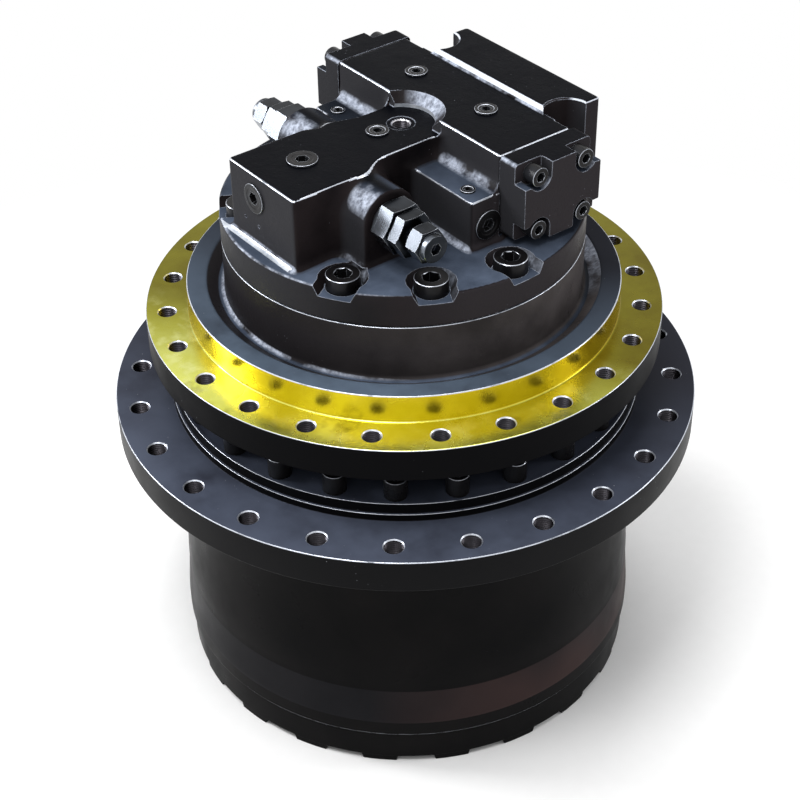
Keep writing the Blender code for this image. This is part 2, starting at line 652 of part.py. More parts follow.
def arc(centre, radius, start, end, steps):
    """Points along an arc."""
    points = []
    for i in range(steps + 1):
        angle = start + (end - start) * i / steps
        points.append((centre[0] + radius * math.cos(angle), centre[1] + radius * math.sin(angle)))
    return points


def rounded_rectangle(low, high, corner, steps=2):
    """A rectangle with round corners, counterclockwise."""
    quarter = math.pi / 2
    corners = ((high[0] - corner, high[1] - corner), (low[0] + corner, high[1] - corner),
               (low[0] + corner, low[1] + corner), (high[0] - corner, low[1] + corner))
    points = []
    for index, centre in enumerate(corners):
        points += arc(centre, corner, index * quarter, (index + 1) * quarter, steps)
    return points


def circle(radius, segments, phase=0):
    """A full circle's points."""
    return [on_circle(radius, phase + math.tau * i / segments) for i in range(segments)]


def combine(target, tool, operation):
    """Add a Boolean to the target and put the tool away among the cutters."""
    change = target.modifiers.new(tool.name, 'BOOLEAN')
    change.operation = operation
    change.solver = 'EXACT'
    change.object = tool
    tool.hide_render = True
    tool.display_type = 'WIRE'
    CUTTERS.objects.link(tool)
    PARTS.objects.unlink(tool)
    return target


def cut(target, tool):
    """Take the tool's space out of the target."""
    return combine(target, tool, 'DIFFERENCE')


def join(target, tool):
    """Fuse the tool's solid to the target."""
    return combine(target, tool, 'UNION')


def involute(angle):
    """The involute function."""
    return math.tan(angle) - angle


def half_tooth(teeth, radius, play):
    """Half of a tooth's angle at a radius, with its flanks moved back by the play."""
    pitch = MODULE * teeth / 2
    base = pitch * math.cos(PRESSURE_ANGLE)
    pressure = math.acos(base / radius) if radius > base else 0
    return math.pi / (2 * teeth) - play / pitch + involute(PRESSURE_ANGLE) - involute(pressure)


def gear_outline(teeth, root, tip, play, phase, flank_steps):
    """Involute teeth as a closed outline, counterclockwise."""
    radii = [root + (tip - root) * i / flank_steps for i in range(flank_steps + 1)]
    points = []
    for tooth in range(teeth):
        middle = phase + math.tau * tooth / teeth
        points += [on_circle(r, middle - half_tooth(teeth, r, play)) for r in radii]
        points += [on_circle(r, middle + half_tooth(teeth, r, play)) for r in reversed(radii)]
    return points


def planet_angle(index):
    """The direction of a planet from the main axis."""
    return math.tau * index / PLANET_COUNT


def sun_phase():
    """The sun's tooth phase that meshes with planets which mesh with the ring."""
    return math.pi * PLANET_TEETH / SUN_TEETH


def planet_phase(angle):
    """The planet's tooth phase at a place around the sun."""
    turned_by = (angle - sun_phase()) * SUN_TEETH + (angle + math.pi) * PLANET_TEETH - math.pi
    return turned_by / PLANET_TEETH


def planet_gear(name, index, bottom, top, bore_radius):
    """One planet gear with its origin on its pin's axis."""
    angle = planet_angle(index)
    root = MODULE * PLANET_TEETH / 2 - DEDENDUM
    teeth = gear_outline(PLANET_TEETH, root, PLANET_TIP_RADIUS, FLANK_PLAY, planet_phase(angle), 1)
    hole = circle(bore(bore_radius, PIN_ROUND), PIN_ROUND)
    x, y = on_circle(CENTRE_DISTANCE, angle)
    return finish(extruded(name, [teeth, hole], bottom, top, at(x, y, 0)), "gear_steel")


def sun_outline():
    """The sun's teeth."""
    tip = MODULE * SUN_TEETH / 2 + ADDENDUM
    return gear_outline(SUN_TEETH, SUN_ROOT_RADIUS, tip, FLANK_PLAY, sun_phase(), 2)


def around(count, radius, phase=0):
    """Place matrices around the main axis, each turned to its own direction."""
    return [Matrix.Rotation(phase + math.tau * i / count, 4, 'Z') @ at(radius, 0, 0) for i in range(count)]


def end_cover():
    """The drum's bottom lid, with castellated lugs, screw heads and a thrust pad."""
    inner = COVER_RADIUS - COVER_WALL
    profile = [(0, THRUST_PAD_TOP), (THRUST_PAD_RADIUS, THRUST_PAD_TOP), (THRUST_PAD_RADIUS, COVER_FLOOR),
               (inner, COVER_FLOOR), (inner, COVER_TOP), (COVER_RADIUS - COVER_EDGE, COVER_TOP),
               (COVER_RADIUS, COVER_TOP - COVER_EDGE), (COVER_RADIUS, LUG_HEIGHT), (0, LUG_HEIGHT)]
    item = turned("end_cover", profile)
    for index, place in enumerate(around(LUG_COUNT, 0, LUG_PHASE)):
        foot = LUG_WIDTH / 2
        head = foot + LUG_SLOPE
        outline = [(-head, LUG_HEIGHT + OVERRUN), (-foot, 0), (foot, 0), (head, LUG_HEIGHT + OVERRUN)]
        outer = COVER_RADIUS * math.cos(math.pi / ROUND) - LUG_SLOPE
        lug = extruded("lug_%02d" % (index + 1), [outline], COVER_RADIUS - LUG_DEPTH, outer, place @ ALONG_X)
        join(item, lug)
    plugs = [at(*on_circle(LEVEL_PLUG_CIRCLE, angle), 0) for angle in LEVEL_PLUG_ANGLES]
    cut(item, cylinders("level_plug_holes", plugs, bore(LEVEL_PLUG_SHANK_RADIUS + GAP, SMALL_ROUND),
                        LUG_HEIGHT - OVERRUN, COVER_FLOOR + OVERRUN, SMALL_ROUND))
    return finish(item, "black_paint")


def level_plugs():
    """Oil drain and level plugs in the end cover's underside."""
    for index, angle in enumerate(LEVEL_PLUG_ANGLES):
        seat = LUG_HEIGHT - GAP
        shank_top = seat + LEVEL_PLUG_SHANK_LENGTH
        profile = [(0, shank_top), (LEVEL_PLUG_SHANK_RADIUS, shank_top), (LEVEL_PLUG_SHANK_RADIUS, seat),
                   (LEVEL_PLUG_RADIUS, seat), (LEVEL_PLUG_RADIUS, seat - LEVEL_PLUG_HEAD_HEIGHT),
                   (0, seat - LEVEL_PLUG_HEAD_HEIGHT)]
        place = at(*on_circle(LEVEL_PLUG_CIRCLE, angle), 0)
        finish(turned("level_plug_%d" % (index + 1), profile, SMALL_ROUND, place), "dark_steel")


def ring_gear_drum():
    """The drum: its outer form tapers in a soft shoulder, and the ring gear's teeth line its bore."""
    profile = [(DRUM_CORE_RADIUS, DRUM_TOP), (DRUM_TOP_RADIUS, DRUM_TOP),
               (DRUM_NECK_RADIUS, DRUM_TOP - DRUM_FLARE_HEIGHT)]
    for step in range(SHOULDER_STEPS + 1):
        share = step / SHOULDER_STEPS
        height = DRUM_NECK_START + (DRUM_SHOULDER - DRUM_NECK_START) * share
        blend = (1 - math.cos(math.pi * share)) / 2
        profile.append((DRUM_NECK_RADIUS + (DRUM_RADIUS - DRUM_NECK_RADIUS) * blend, height))
    profile += [(DRUM_RADIUS, DRUM_BOTTOM + COVER_EDGE), (DRUM_RADIUS - COVER_EDGE, DRUM_BOTTOM),
                (DRUM_CORE_RADIUS, DRUM_BOTTOM)]
    item = turned("ring_gear_drum", profile)
    cut(item, disc("drum_bore", bore(DRUM_BORE_RADIUS, ROUND), TEETH_TOP, DRUM_TOP + OVERRUN))
    spaces = gear_outline(RING_TEETH, RING_TIP_RADIUS, RING_ROOT_RADIUS, -RING_FLANK_PLAY,
                          math.pi / RING_TEETH, 1)
    cut(item, extruded("ring_gear_teeth", [spaces], DRUM_BOTTOM - OVERRUN, TEETH_TOP + OVERRUN))
    return finish(item, "black_paint")


def hub():
    """The turning hub: sprocket flange, collar with its screw heads, bearing seats and seal seat."""
    lower_seat_top = LOWER_BEARING_BOTTOM + BEARING_WIDTH + GAP
    upper_seat_bottom = UPPER_BEARING_BOTTOM - GAP
    rim_inner = COLLAR_RADIUS - COLLAR_RIM
    seal_seat = bore(SEAL_SEAT_RADIUS)
    seat = bore(BEARING_SEAT_RADIUS)
    profile = [(CORE_RADIUS, COLLAR_SEAT), (rim_inner, COLLAR_SEAT), (rim_inner, COLLAR_TOP),
               (COLLAR_RADIUS, COLLAR_TOP), (COLLAR_RADIUS, STEP_TOP), (STEP_RADIUS, STEP_TOP),
               (STEP_RADIUS, FLANGE_TOP), (FLANGE_RADIUS - FLANGE_EDGE, FLANGE_TOP),
               (FLANGE_RADIUS, FLANGE_TOP - FLANGE_EDGE), (FLANGE_RADIUS, FLANGE_BOTTOM),
               (DRUM_SPIGOT_RADIUS, FLANGE_BOTTOM), (DRUM_SPIGOT_RADIUS, DRUM_SEAT),
               (SKIRT_RADIUS, DRUM_SEAT), (SKIRT_RADIUS, SKIRT_BOTTOM), (CORE_RADIUS, SKIRT_BOTTOM)]
    item = turned("hub", profile)
    hollow = [(0, COLLAR_TOP), (seal_seat, COLLAR_TOP), (seal_seat, SEAL_SEAT_FLOOR),
              (HUB_LIP_RADIUS, SEAL_SEAT_FLOOR), (HUB_LIP_RADIUS, HUB_LIP_BOTTOM), (seat, HUB_LIP_BOTTOM),
              (seat, upper_seat_bottom), (BEARING_RIB_RADIUS, upper_seat_bottom),
              (BEARING_RIB_RADIUS, lower_seat_top), (seat, lower_seat_top), (seat, SKIRT_BOTTOM - OVERRUN),
              (0, SKIRT_BOTTOM - OVERRUN)]
    cut(item, turned("hub_hollow", hollow, MEDIUM_ROUND))
    holes = around(SPROCKET_HOLE_COUNT, SPROCKET_HOLE_CIRCLE, SPROCKET_HOLE_PHASE)
    cut(item, cylinders("sprocket_holes", holes, SPROCKET_HOLE_RADIUS, FLANGE_BOTTOM - OVERRUN,
                        FLANGE_TOP + OVERRUN, HEXAGON))
    heads = around(HUB_BOLT_COUNT, HUB_BOLT_CIRCLE, SPROCKET_HOLE_PHASE)
    join(item, cylinders("hub_bolt_heads", heads, HUB_BOLT_HEAD_RADIUS, COLLAR_SEAT - OVERRUN,
                         HUB_BOLT_HEAD_TOP))
    return finish(item, "black_paint")


def bearings():
    """Inner ring, outer ring and roller set of both large bearings, and the nut that holds them."""
    for name, bottom in (("lower", LOWER_BEARING_BOTTOM), ("upper", UPPER_BEARING_BOTTOM)):
        top = bottom + BEARING_WIDTH
        neck_bore = bore(NECK_RADIUS + GAP)
        rib_top = bottom + ROLLER_MARGIN - GAP
        profile = [(neck_bore, top), (BEARING_INNER_RADIUS, top), (BEARING_INNER_RADIUS, rib_top),
                   (BEARING_RIB, rib_top), (BEARING_RIB, bottom), (neck_bore, bottom)]
        finish(turned("bearing_inner_" + name, profile, MEDIUM_ROUND), "bearing_steel")
        outer = ring("bearing_outer_" + name, bore(BEARING_OUTER_RADIUS), BEARING_SEAT_RADIUS - GAP, bottom,
                     top)
        finish(outer, "bearing_steel")
        rollers = ring("bearing_rollers_" + name, bore(BEARING_INNER_RADIUS + GAP),
                       BEARING_OUTER_RADIUS - GAP, bottom + ROLLER_MARGIN, top - ROLLER_MARGIN)
        finish(rollers, "bearing_steel")
    nut = ring("bearing_nut", bore(NUT_THREAD_RADIUS + GAP), NUT_RADIUS, NUT_BOTTOM, NUT_TOP)
    half = NUT_SLOT_WIDTH / 2
    for index, place in enumerate(around(NUT_SLOT_COUNT, 0)):
        low = (NUT_RADIUS - NUT_SLOT_DEPTH, -half, NUT_BOTTOM - OVERRUN)
        high = (NUT_RADIUS + NUT_SLOT_DEPTH, half, NUT_TOP + OVERRUN)
        cut(nut, box("nut_slot_%d" % (index + 1), low, high, place))
    finish(nut, "dark_steel")


def seal_ring_profile(face, foot):
    """One metal seal ring between its running face and its foot; foot lies behind the face."""
    step = SEAL_FLANGE_HEIGHT if foot < face else -SEAL_FLANGE_HEIGHT
    inner = bore(SEAL_RING_INNER)
    points = [(inner, face), (SEAL_RING_OUTER, face), (SEAL_RING_OUTER, face - step),
              (SEAL_BODY_RADIUS, face - step), (SEAL_BODY_RADIUS, foot), (inner, foot)]
    return points if foot < face else list(reversed(points))


def face_seal():
    """Two metal rings that run on each other, each on its own rubber toric ring."""
    lower_foot = SEAL_SEAT_FLOOR + GAP
    upper_foot = SEAL_POCKET_TOP - GAP
    lower_face = SEAL_FACE - GAP / 2
    upper_face = SEAL_FACE + GAP / 2
    inner = bore(SEAL_BODY_RADIUS + GAP)
    lower_profile = seal_ring_profile(lower_face, lower_foot)
    upper_profile = seal_ring_profile(upper_face, upper_foot)
    finish(turned("seal_ring_lower", lower_profile, MEDIUM_ROUND), "bearing_steel")
    finish(turned("seal_ring_upper", upper_profile, MEDIUM_ROUND), "bearing_steel")
    lower = ring("toric_ring_lower", inner, TORIC_OUTER, lower_foot, lower_foot + TORIC_HEIGHT)
    upper = ring("toric_ring_upper", inner, TORIC_OUTER, upper_foot - TORIC_HEIGHT, upper_foot)
    finish(lower, "seal_rubber")
    finish(upper, "seal_rubber")


def spindle_housing():
    """The fixed housing: bearing neck, seal seat, frame flange with its pilot, and motor case."""
    seal_seat = bore(SEAL_SEAT_RADIUS, ROUND)
    profile = [(CORE_RADIUS, CASE_TOP), (CASE_RADIUS, CASE_TOP), (CASE_RADIUS, GROOVE_FLOOR + PILOT_EDGE),
               (GROOVE_RADIUS, GROOVE_FLOOR), (PILOT_INNER_RADIUS, PILOT_TOP),
               (PILOT_RADIUS - PILOT_EDGE, PILOT_TOP), (PILOT_RADIUS, PILOT_TOP - PILOT_EDGE),
               (PILOT_RADIUS, FRAME_FLANGE_TOP), (FRAME_FLANGE_RADIUS - FRAME_FLANGE_EDGE, FRAME_FLANGE_TOP),
               (FRAME_FLANGE_RADIUS, FRAME_FLANGE_TOP - FRAME_FLANGE_EDGE),
               (FRAME_FLANGE_RADIUS, FRAME_FLANGE_BOTTOM), (SEAL_BOSS_RADIUS, FRAME_FLANGE_BOTTOM),
               (SEAL_BOSS_RADIUS, SEAL_BOSS_BOTTOM), (seal_seat, SEAL_BOSS_BOTTOM),
               (seal_seat, SEAL_POCKET_TOP), (SPINDLE_WAIST_RADIUS, SEAL_POCKET_TOP),
               (SPINDLE_WAIST_RADIUS, SPINDLE_SHOULDER), (NECK_RADIUS, SPINDLE_SHOULDER),
               (NECK_RADIUS, LOWER_BEARING_BOTTOM), (NUT_THREAD_RADIUS, LOWER_BEARING_BOTTOM),
               (NUT_THREAD_RADIUS, SPINDLE_BOTTOM), (CORE_RADIUS, SPINDLE_BOTTOM)]
    item = turned("spindle_housing", profile)
    piston_chamber = bore(PISTON_CHAMBER_RADIUS)
    disc_chamber = bore(DISC_CHAMBER_RADIUS)
    bearing_seat = bore(SHAFT_BEARING_RADIUS)
    hollow = [(0, CASE_TOP + OVERRUN), (piston_chamber, CASE_TOP + OVERRUN), (piston_chamber, PISTON_LEDGE),
              (disc_chamber, PISTON_LEDGE), (disc_chamber, DISC_LEDGE), (MOTOR_CHAMBER_RADIUS, DISC_LEDGE),
              (MOTOR_CHAMBER_RADIUS, MOTOR_CHAMBER_FLOOR), (bearing_seat, MOTOR_CHAMBER_FLOOR),
              (bearing_seat, SHAFT_BEARING_FLOOR), (SHAFT_BORE_RADIUS, SHAFT_BEARING_FLOOR),
              (SHAFT_BORE_RADIUS, SPINDLE_BOTTOM - OVERRUN), (0, SPINDLE_BOTTOM - OVERRUN)]
    cut(item, turned("motor_chamber", hollow, MEDIUM_ROUND))
    holes = around(FRAME_HOLE_COUNT, FRAME_HOLE_CIRCLE)
    cut(item, cylinders("frame_holes", holes, FRAME_HOLE_RADIUS, FRAME_FLANGE_BOTTOM - OVERRUN,
                        FRAME_FLANGE_TOP + OVERRUN, HEXAGON))
    clearance = bore(COVER_SCREW_SHANK_RADIUS + GAP, HOLE_ROUND)
    cut(item, cylinders("case_screw_holes", cover_screw_places(), clearance,
                        COVER_SCREW_SEAT - COVER_SCREW_LENGTH - OVERRUN, CASE_TOP + OVERRUN))
    return finish(item, "cast_black")


def cover_screw_places():
    """A place matrix for each cover screw, its local X pointing outward."""
    return [Matrix.Rotation(a, 4, 'Z') @ at(COVER_SCREW_CIRCLE, 0, 0) for a in COVER_SCREW_ANGLES]


def cover_screws():
    """Socket cap screws round the rear cover."""
    end = COVER_SCREW_SEAT - COVER_SCREW_LENGTH
    profile = [(0, COVER_SCREW_HEAD_TOP), (COVER_SCREW_HEAD_RADIUS, COVER_SCREW_HEAD_TOP),
               (COVER_SCREW_HEAD_RADIUS, COVER_SCREW_SEAT), (COVER_SCREW_SHANK_RADIUS, COVER_SCREW_SEAT),
               (COVER_SCREW_SHANK_RADIUS, end), (0, end)]
    for index, place in enumerate(cover_screw_places()):
        screw = turned("cover_screw_%d" % (index + 1), profile, HOLE_ROUND, place)
        socket = cylinders("cover_screw_socket_%d" % (index + 1), [place], COVER_SCREW_SOCKET_RADIUS,
                           COVER_SCREW_HEAD_TOP - COVER_SCREW_SOCKET_DEPTH,
                           COVER_SCREW_HEAD_TOP + OVERRUN, HEXAGON)
        cut(screw, socket)
        finish(screw, "dark_steel")


def casting_block(name, low, high, top):
    """An upright block of the rear cover's casting."""
    return extruded(name, [rounded_rectangle(low, high, BLOCK_CORNER)], BLOCK_FOOT, top)


def relief_boss(name, start, end, y):
    """An arched boss round a relief valve, straight down to the cover."""
    drop = BLOCK_FOOT - RELIEF_AXIS_HEIGHT
    outline = [(-RELIEF_BOSS_RADIUS, drop), (RELIEF_BOSS_RADIUS, drop)]
    outline += arc((0, 0), RELIEF_BOSS_RADIUS, 0, math.pi, RELIEF_BOSS_STEPS)
    return extruded(name, [outline], start, end, at(0, y, RELIEF_AXIS_HEIGHT) @ ALONG_X)


def rear_cover():
    """The motor's rear cover, cast in one with the relief block, valve body and port slab."""
    item = disc("rear_cover", CASE_RADIUS, COVER_SEAT, REAR_COVER_TOP)
    sunk = VALVE_BODY_FRONT + BLOCK_CORNER + OVERRUN
    blocks = (
        ("relief_block", (RELIEF_BLOCK_LEFT, RELIEF_BLOCK_FRONT), (RELIEF_BLOCK_RIGHT, RELIEF_BLOCK_NECK),
         RELIEF_BLOCK_TOP),
        ("relief_neck", (RELIEF_NECK_LEFT, RELIEF_BLOCK_NECK - sunk), (RELIEF_NECK_RIGHT, sunk),
         RELIEF_BLOCK_TOP),
        ("valve_body", (VALVE_BODY_LEFT, VALVE_BODY_FRONT), (VALVE_BODY_RIGHT, VALVE_BODY_BACK),
         VALVE_BODY_TOP),
        ("port_slab", (-PORT_SLAB_HALF, PORT_SLAB_FRONT), (PORT_SLAB_HALF, PORT_SLAB_BACK), PORT_SLAB_TOP),
        ("side_block", (-SIDE_BLOCK_HALF, SIDE_BLOCK_FRONT), (SIDE_BLOCK_HALF, SIDE_BLOCK_BACK),
         SIDE_BLOCK_TOP),
        ("side_bridge", (BLOCK_CORNER - SIDE_BLOCK_HALF, 0), (VALVE_BODY_RIGHT - CASTING_STEP, sunk),
         SIDE_BLOCK_TOP - GAP),
    )
    for name, low, high, top in blocks:
        join(item, casting_block(name, low, high, top))
    join(item, relief_boss("front_boss", RELIEF_NECK_RIGHT - OVERRUN, FRONT_BOSS_END, FRONT_RELIEF_Y))
    join(item, relief_boss("back_boss", BACK_BOSS_END, RELIEF_NECK_LEFT + OVERRUN, BACK_RELIEF_Y))
    cover_cuts(item)
    return finish(item, "cast_black")


def cover_cuts(item):
    """Screw pockets, ports, bores and plug holes of the rear cover."""
    places = cover_screw_places()
    pocket_top = REAR_COVER_TOP + OVERRUN
    cut(item, cylinders("pockets", places, POCKET_RADIUS, POCKET_FLOOR, pocket_top, SMALL_ROUND))
    for index, place in enumerate(places):
        low = (0, -POCKET_HALF_WIDTH, POCKET_FLOOR)
        high = (POCKET_RADIUS + OVERRUN, POCKET_HALF_WIDTH, pocket_top)
        cut(item, box("pocket_mouth_%d" % (index + 1), low, high, place))
    seat = COVER_SCREW_SEAT - GAP
    cut(item, cylinders("counterbores", places, bore(COUNTERBORE_RADIUS, HOLE_ROUND), seat, pocket_top))
    cut(item, cylinders("cover_screw_holes", places, bore(COVER_SCREW_SHANK_RADIUS + GAP, HOLE_ROUND),
                        COVER_SEAT - OVERRUN, seat + OVERRUN))
    scallops = [at(side * SCALLOP_X, SCALLOP_Y, 0) for side in (-1, 1)]
    cut(item, cylinders("scallops", scallops, SCALLOP_RADIUS, POCKET_FLOOR, PORT_SLAB_TOP + OVERRUN,
                        SMALL_ROUND))
    port = at(OPEN_PORT_X, OPEN_PORT_Y, 0)
    cut(item, cylinders("port_recess", [port], RECESS_RADIUS, RELIEF_BLOCK_TOP, VALVE_BODY_TOP + OVERRUN,
                        MEDIUM_ROUND))
    cut(item, cylinders("port_face", [port], PORT_FACE_RADIUS, RELIEF_BLOCK_TOP - PORT_FACE_DEPTH,
                        RELIEF_BLOCK_TOP + OVERRUN, SMALL_ROUND))
    cut(item, cylinders("open_port", [port], OPEN_PORT_RADIUS, RELIEF_BLOCK_TOP - OPEN_PORT_DEPTH,
                        RELIEF_BLOCK_TOP + OVERRUN, SMALL_ROUND))
    spool_bore = at(0, SPOOL_Y, SPOOL_HEIGHT) @ ALONG_X
    cut(item, cylinders("spool_bore", [spool_bore], bore(SPOOL_BORE_RADIUS, SMALL_ROUND),
                        VALVE_BODY_LEFT - OVERRUN, VALVE_BODY_RIGHT + OVERRUN, SMALL_ROUND))
    nose_bore = bore(CARTRIDGE_NOSE_RADIUS + GAP, SMALL_ROUND)
    depth = CARTRIDGE_NOSE_LENGTH + OVERRUN
    fronts = [at(FRONT_BOSS_END, FRONT_RELIEF_Y, RELIEF_AXIS_HEIGHT) @ ALONG_X,
              at(BACK_BOSS_END, BACK_RELIEF_Y, RELIEF_AXIS_HEIGHT) @ ALONG_MINUS_X]
    cut(item, cylinders("cartridge_bores", fronts, nose_bore, -depth, OVERRUN, SMALL_ROUND))
    mains = [at(side * MAIN_PORT_X, PORT_SLAB_BACK, MAIN_PORT_HEIGHT) @ ALONG_Y for side in (-1, 1)]
    cut(item, cylinders("main_ports", mains, MAIN_PORT_RADIUS, -MAIN_PORT_DEPTH, OVERRUN, SMALL_ROUND))
    bolts = [place @ at(sx * MAIN_PORT_BOLT_X, sz * MAIN_PORT_BOLT_Z, 0)
             for place in mains for sx in (-1, 1) for sz in (-1, 1)]
    cut(item, cylinders("port_bolt_holes", bolts, MAIN_PORT_BOLT_RADIUS, -MAIN_PORT_BOLT_DEPTH, OVERRUN,
                        HEXAGON))
    for name, place, (head, shank, socket) in plug_places():
        cut(item, cylinders("hole_of_" + name, [place], bore(shank + GAP, HOLE_ROUND),
                            -PLUG_SHANK_LENGTH - OVERRUN, OVERRUN))


def plug_places():
    """The socket plugs: name, place with local Z out of the face, and sizes."""
    return (
        ("relief_top_plug_1", at(RELIEF_PLUG_X, RELIEF_FRONT_PLUG_Y, RELIEF_BLOCK_TOP), LARGE_PLUG),
        ("relief_top_plug_2", at(RELIEF_PLUG_X, RELIEF_NECK_PLUG_Y, RELIEF_BLOCK_TOP), SMALL_PLUG),
        ("valve_top_plug_1", at(VALVE_LEFT_PLUG_X, VALVE_LEFT_PLUG_Y, VALVE_BODY_TOP), VALVE_PLUG),
        ("valve_top_plug_2", at(VALVE_RIGHT_PLUG_X, VALVE_RIGHT_PLUG_Y, VALVE_BODY_TOP), VALVE_PLUG),
        ("front_plug", at(FRONT_PLUG_X, RELIEF_BLOCK_FRONT, FRONT_PLUG_HEIGHT) @ ALONG_MINUS_Y, LARGE_PLUG),
        ("side_plug", at(SIDE_BLOCK_HALF, SIDE_PLUG_Y, SIDE_PLUG_HEIGHT) @ ALONG_X, LARGE_PLUG),
        ("ledge_plug", at(LEDGE_PLUG_X, LEDGE_PLUG_Y, SIDE_BLOCK_TOP), TINY_PLUG),
    )


def socket_plugs():
    """Threaded plugs with hexagon sockets, seated on their faces."""
    for name, place, (head, shank, socket) in plug_places():
        profile = [(0, PLUG_HEAD_HEIGHT + GAP), (head, PLUG_HEAD_HEIGHT + GAP), (head, GAP), (shank, GAP),
                   (shank, -PLUG_SHANK_LENGTH), (0, -PLUG_SHANK_LENGTH)]
        plug = turned(name, profile, SMALL_ROUND, place)
        cut(plug, cylinders("socket_of_" + name, [place], socket, PLUG_HEAD_HEIGHT - PLUG_SOCKET_DEPTH,
                            PLUG_HEAD_HEIGHT + OVERRUN, HEXAGON))
        finish(plug, "dark_steel")


def valve_cap(name, face, direction):
    """One end cap of the counterbalance valve with its four cap screws."""
    low = (CAP_FRONT - SPOOL_Y, CAP_BOTTOM - SPOOL_HEIGHT)
    high = (CAP_BACK - SPOOL_Y, VALVE_BODY_TOP - SPOOL_HEIGHT)
    if direction is ALONG_MINUS_X:
        low, high = (-high[0], low[1]), (-low[0], high[1])
    place = at(face, SPOOL_Y, SPOOL_HEIGHT) @ direction
    item = extruded(name, [rounded_rectangle(low, high, CAP_CORNER)], GAP, CAP_LENGTH, place)
    notch_floor = CAP_LENGTH - CAP_NOTCH_DEPTH
    screws = [place @ at(y, z, 0) for y in (low[0] + CAP_SCREW_SIDE_INSET, high[0] - CAP_SCREW_SIDE_INSET)
              for z in (low[1] + CAP_SCREW_INSET, high[1] - CAP_SCREW_INSET)]
    cut(item, cylinders(name + "_notches", screws, CAP_NOTCH_RADIUS, notch_floor, CAP_LENGTH + OVERRUN,
                        SMALL_ROUND))
    join(item, cylinders(name + "_screws", screws, CAP_SCREW_HEAD_RADIUS, notch_floor - OVERRUN,
                         notch_floor + CAP_SCREW_HEAD_LENGTH))
    cut(item, cylinders(name + "_chamber", [place], CAP_CHAMBER_RADIUS, -OVERRUN, CAP_CHAMBER_DEPTH,
                        SMALL_ROUND))
    return finish(item, "black_paint")


def counterbalance_spool():
    """The spool, with a land at each end and one in the middle."""
    half_middle = SPOOL_LAND / 2
    end = SPOOL_HALF_LENGTH
    land = SPOOL_BORE_RADIUS - GAP
    profile = [(0, end), (land, end), (land, end - SPOOL_LAND), (SPOOL_GROOVE_RADIUS, end - SPOOL_LAND),
               (SPOOL_GROOVE_RADIUS, half_middle), (land, half_middle), (land, -half_middle),
               (SPOOL_GROOVE_RADIUS, -half_middle), (SPOOL_GROOVE_RADIUS, SPOOL_LAND - end),
               (land, SPOOL_LAND - end), (land, -end), (0, -end)]
    place = at(0, SPOOL_Y, SPOOL_HEIGHT) @ ALONG_X
    finish(turned("counterbalance_spool", profile, SMALL_ROUND, place), "gear_steel")


def relief_valve(side, face, y, direction):
    """Cartridge, lock nut and adjuster of one relief valve, screwed into its boss."""
    place = at(face, y, RELIEF_AXIS_HEIGHT) @ direction
    cartridge_end = GAP + CARTRIDGE_LENGTH
    nut_start = cartridge_end + GAP
    nut_end = nut_start + LOCK_NUT_LENGTH
    hex_start = nut_end + ADJUSTER_NECK
    hex_end = hex_start + ADJUSTER_HEX_LENGTH
    disc_end = hex_end + ADJUSTER_DISC_LENGTH
    stem_bore = bore(ADJUSTER_STEM_RADIUS + GAP, SMALL_ROUND)
    cartridge = cylinders("relief_cartridge_" + side, [UPRIGHT], hex_radius(CARTRIDGE_FLATS), GAP,
                          cartridge_end, HEXAGON)
    cartridge.matrix_world = place
    join(cartridge, cylinders("cartridge_nose_" + side, [place], CARTRIDGE_NOSE_RADIUS,
                              -CARTRIDGE_NOSE_LENGTH, OVERRUN, SMALL_ROUND))
    stem_floor = cartridge_end - ADJUSTER_STEM_DEPTH - GAP
    cut(cartridge, cylinders("cartridge_stem_" + side, [place], stem_bore, stem_floor,
                             cartridge_end + OVERRUN, SMALL_ROUND))
    finish(cartridge, "bright_steel")
    nut = extruded("relief_lock_nut_" + side, [circle(hex_radius(LOCK_NUT_FLATS), HEXAGON),
                                                 circle(stem_bore, SMALL_ROUND)], nut_start, nut_end, place)
    finish(nut, "bright_steel")
    stem_start = cartridge_end - ADJUSTER_STEM_DEPTH
    profile = [(0, disc_end), (ADJUSTER_DISC_RADIUS, disc_end), (ADJUSTER_DISC_RADIUS, hex_end - OVERRUN),
               (ADJUSTER_STEM_RADIUS, hex_start), (ADJUSTER_STEM_RADIUS, stem_start), (0, stem_start)]
    adjuster = turned("relief_adjuster_" + side, profile, SMALL_ROUND, place)
    join(adjuster, cylinders("adjuster_hex_" + side, [place], hex_radius(ADJUSTER_FLATS), hex_start, hex_end,
                             HEXAGON))
    cut(adjuster, cylinders("adjuster_socket_" + side, [place], ADJUSTER_SOCKET_RADIUS,
                            disc_end - ADJUSTER_SOCKET_DEPTH, disc_end + OVERRUN, HEXAGON))
    finish(adjuster, "bright_steel")


def carrier_pins(name, radius, bottom, top, segments=PIN_ROUND):
    """The planet pins of one carrier."""
    places = [at(*on_circle(CENTRE_DISTANCE, planet_angle(i)), 0) for i in range(PLANET_COUNT)]
    return cylinders(name, places, radius, bottom, top, segments)


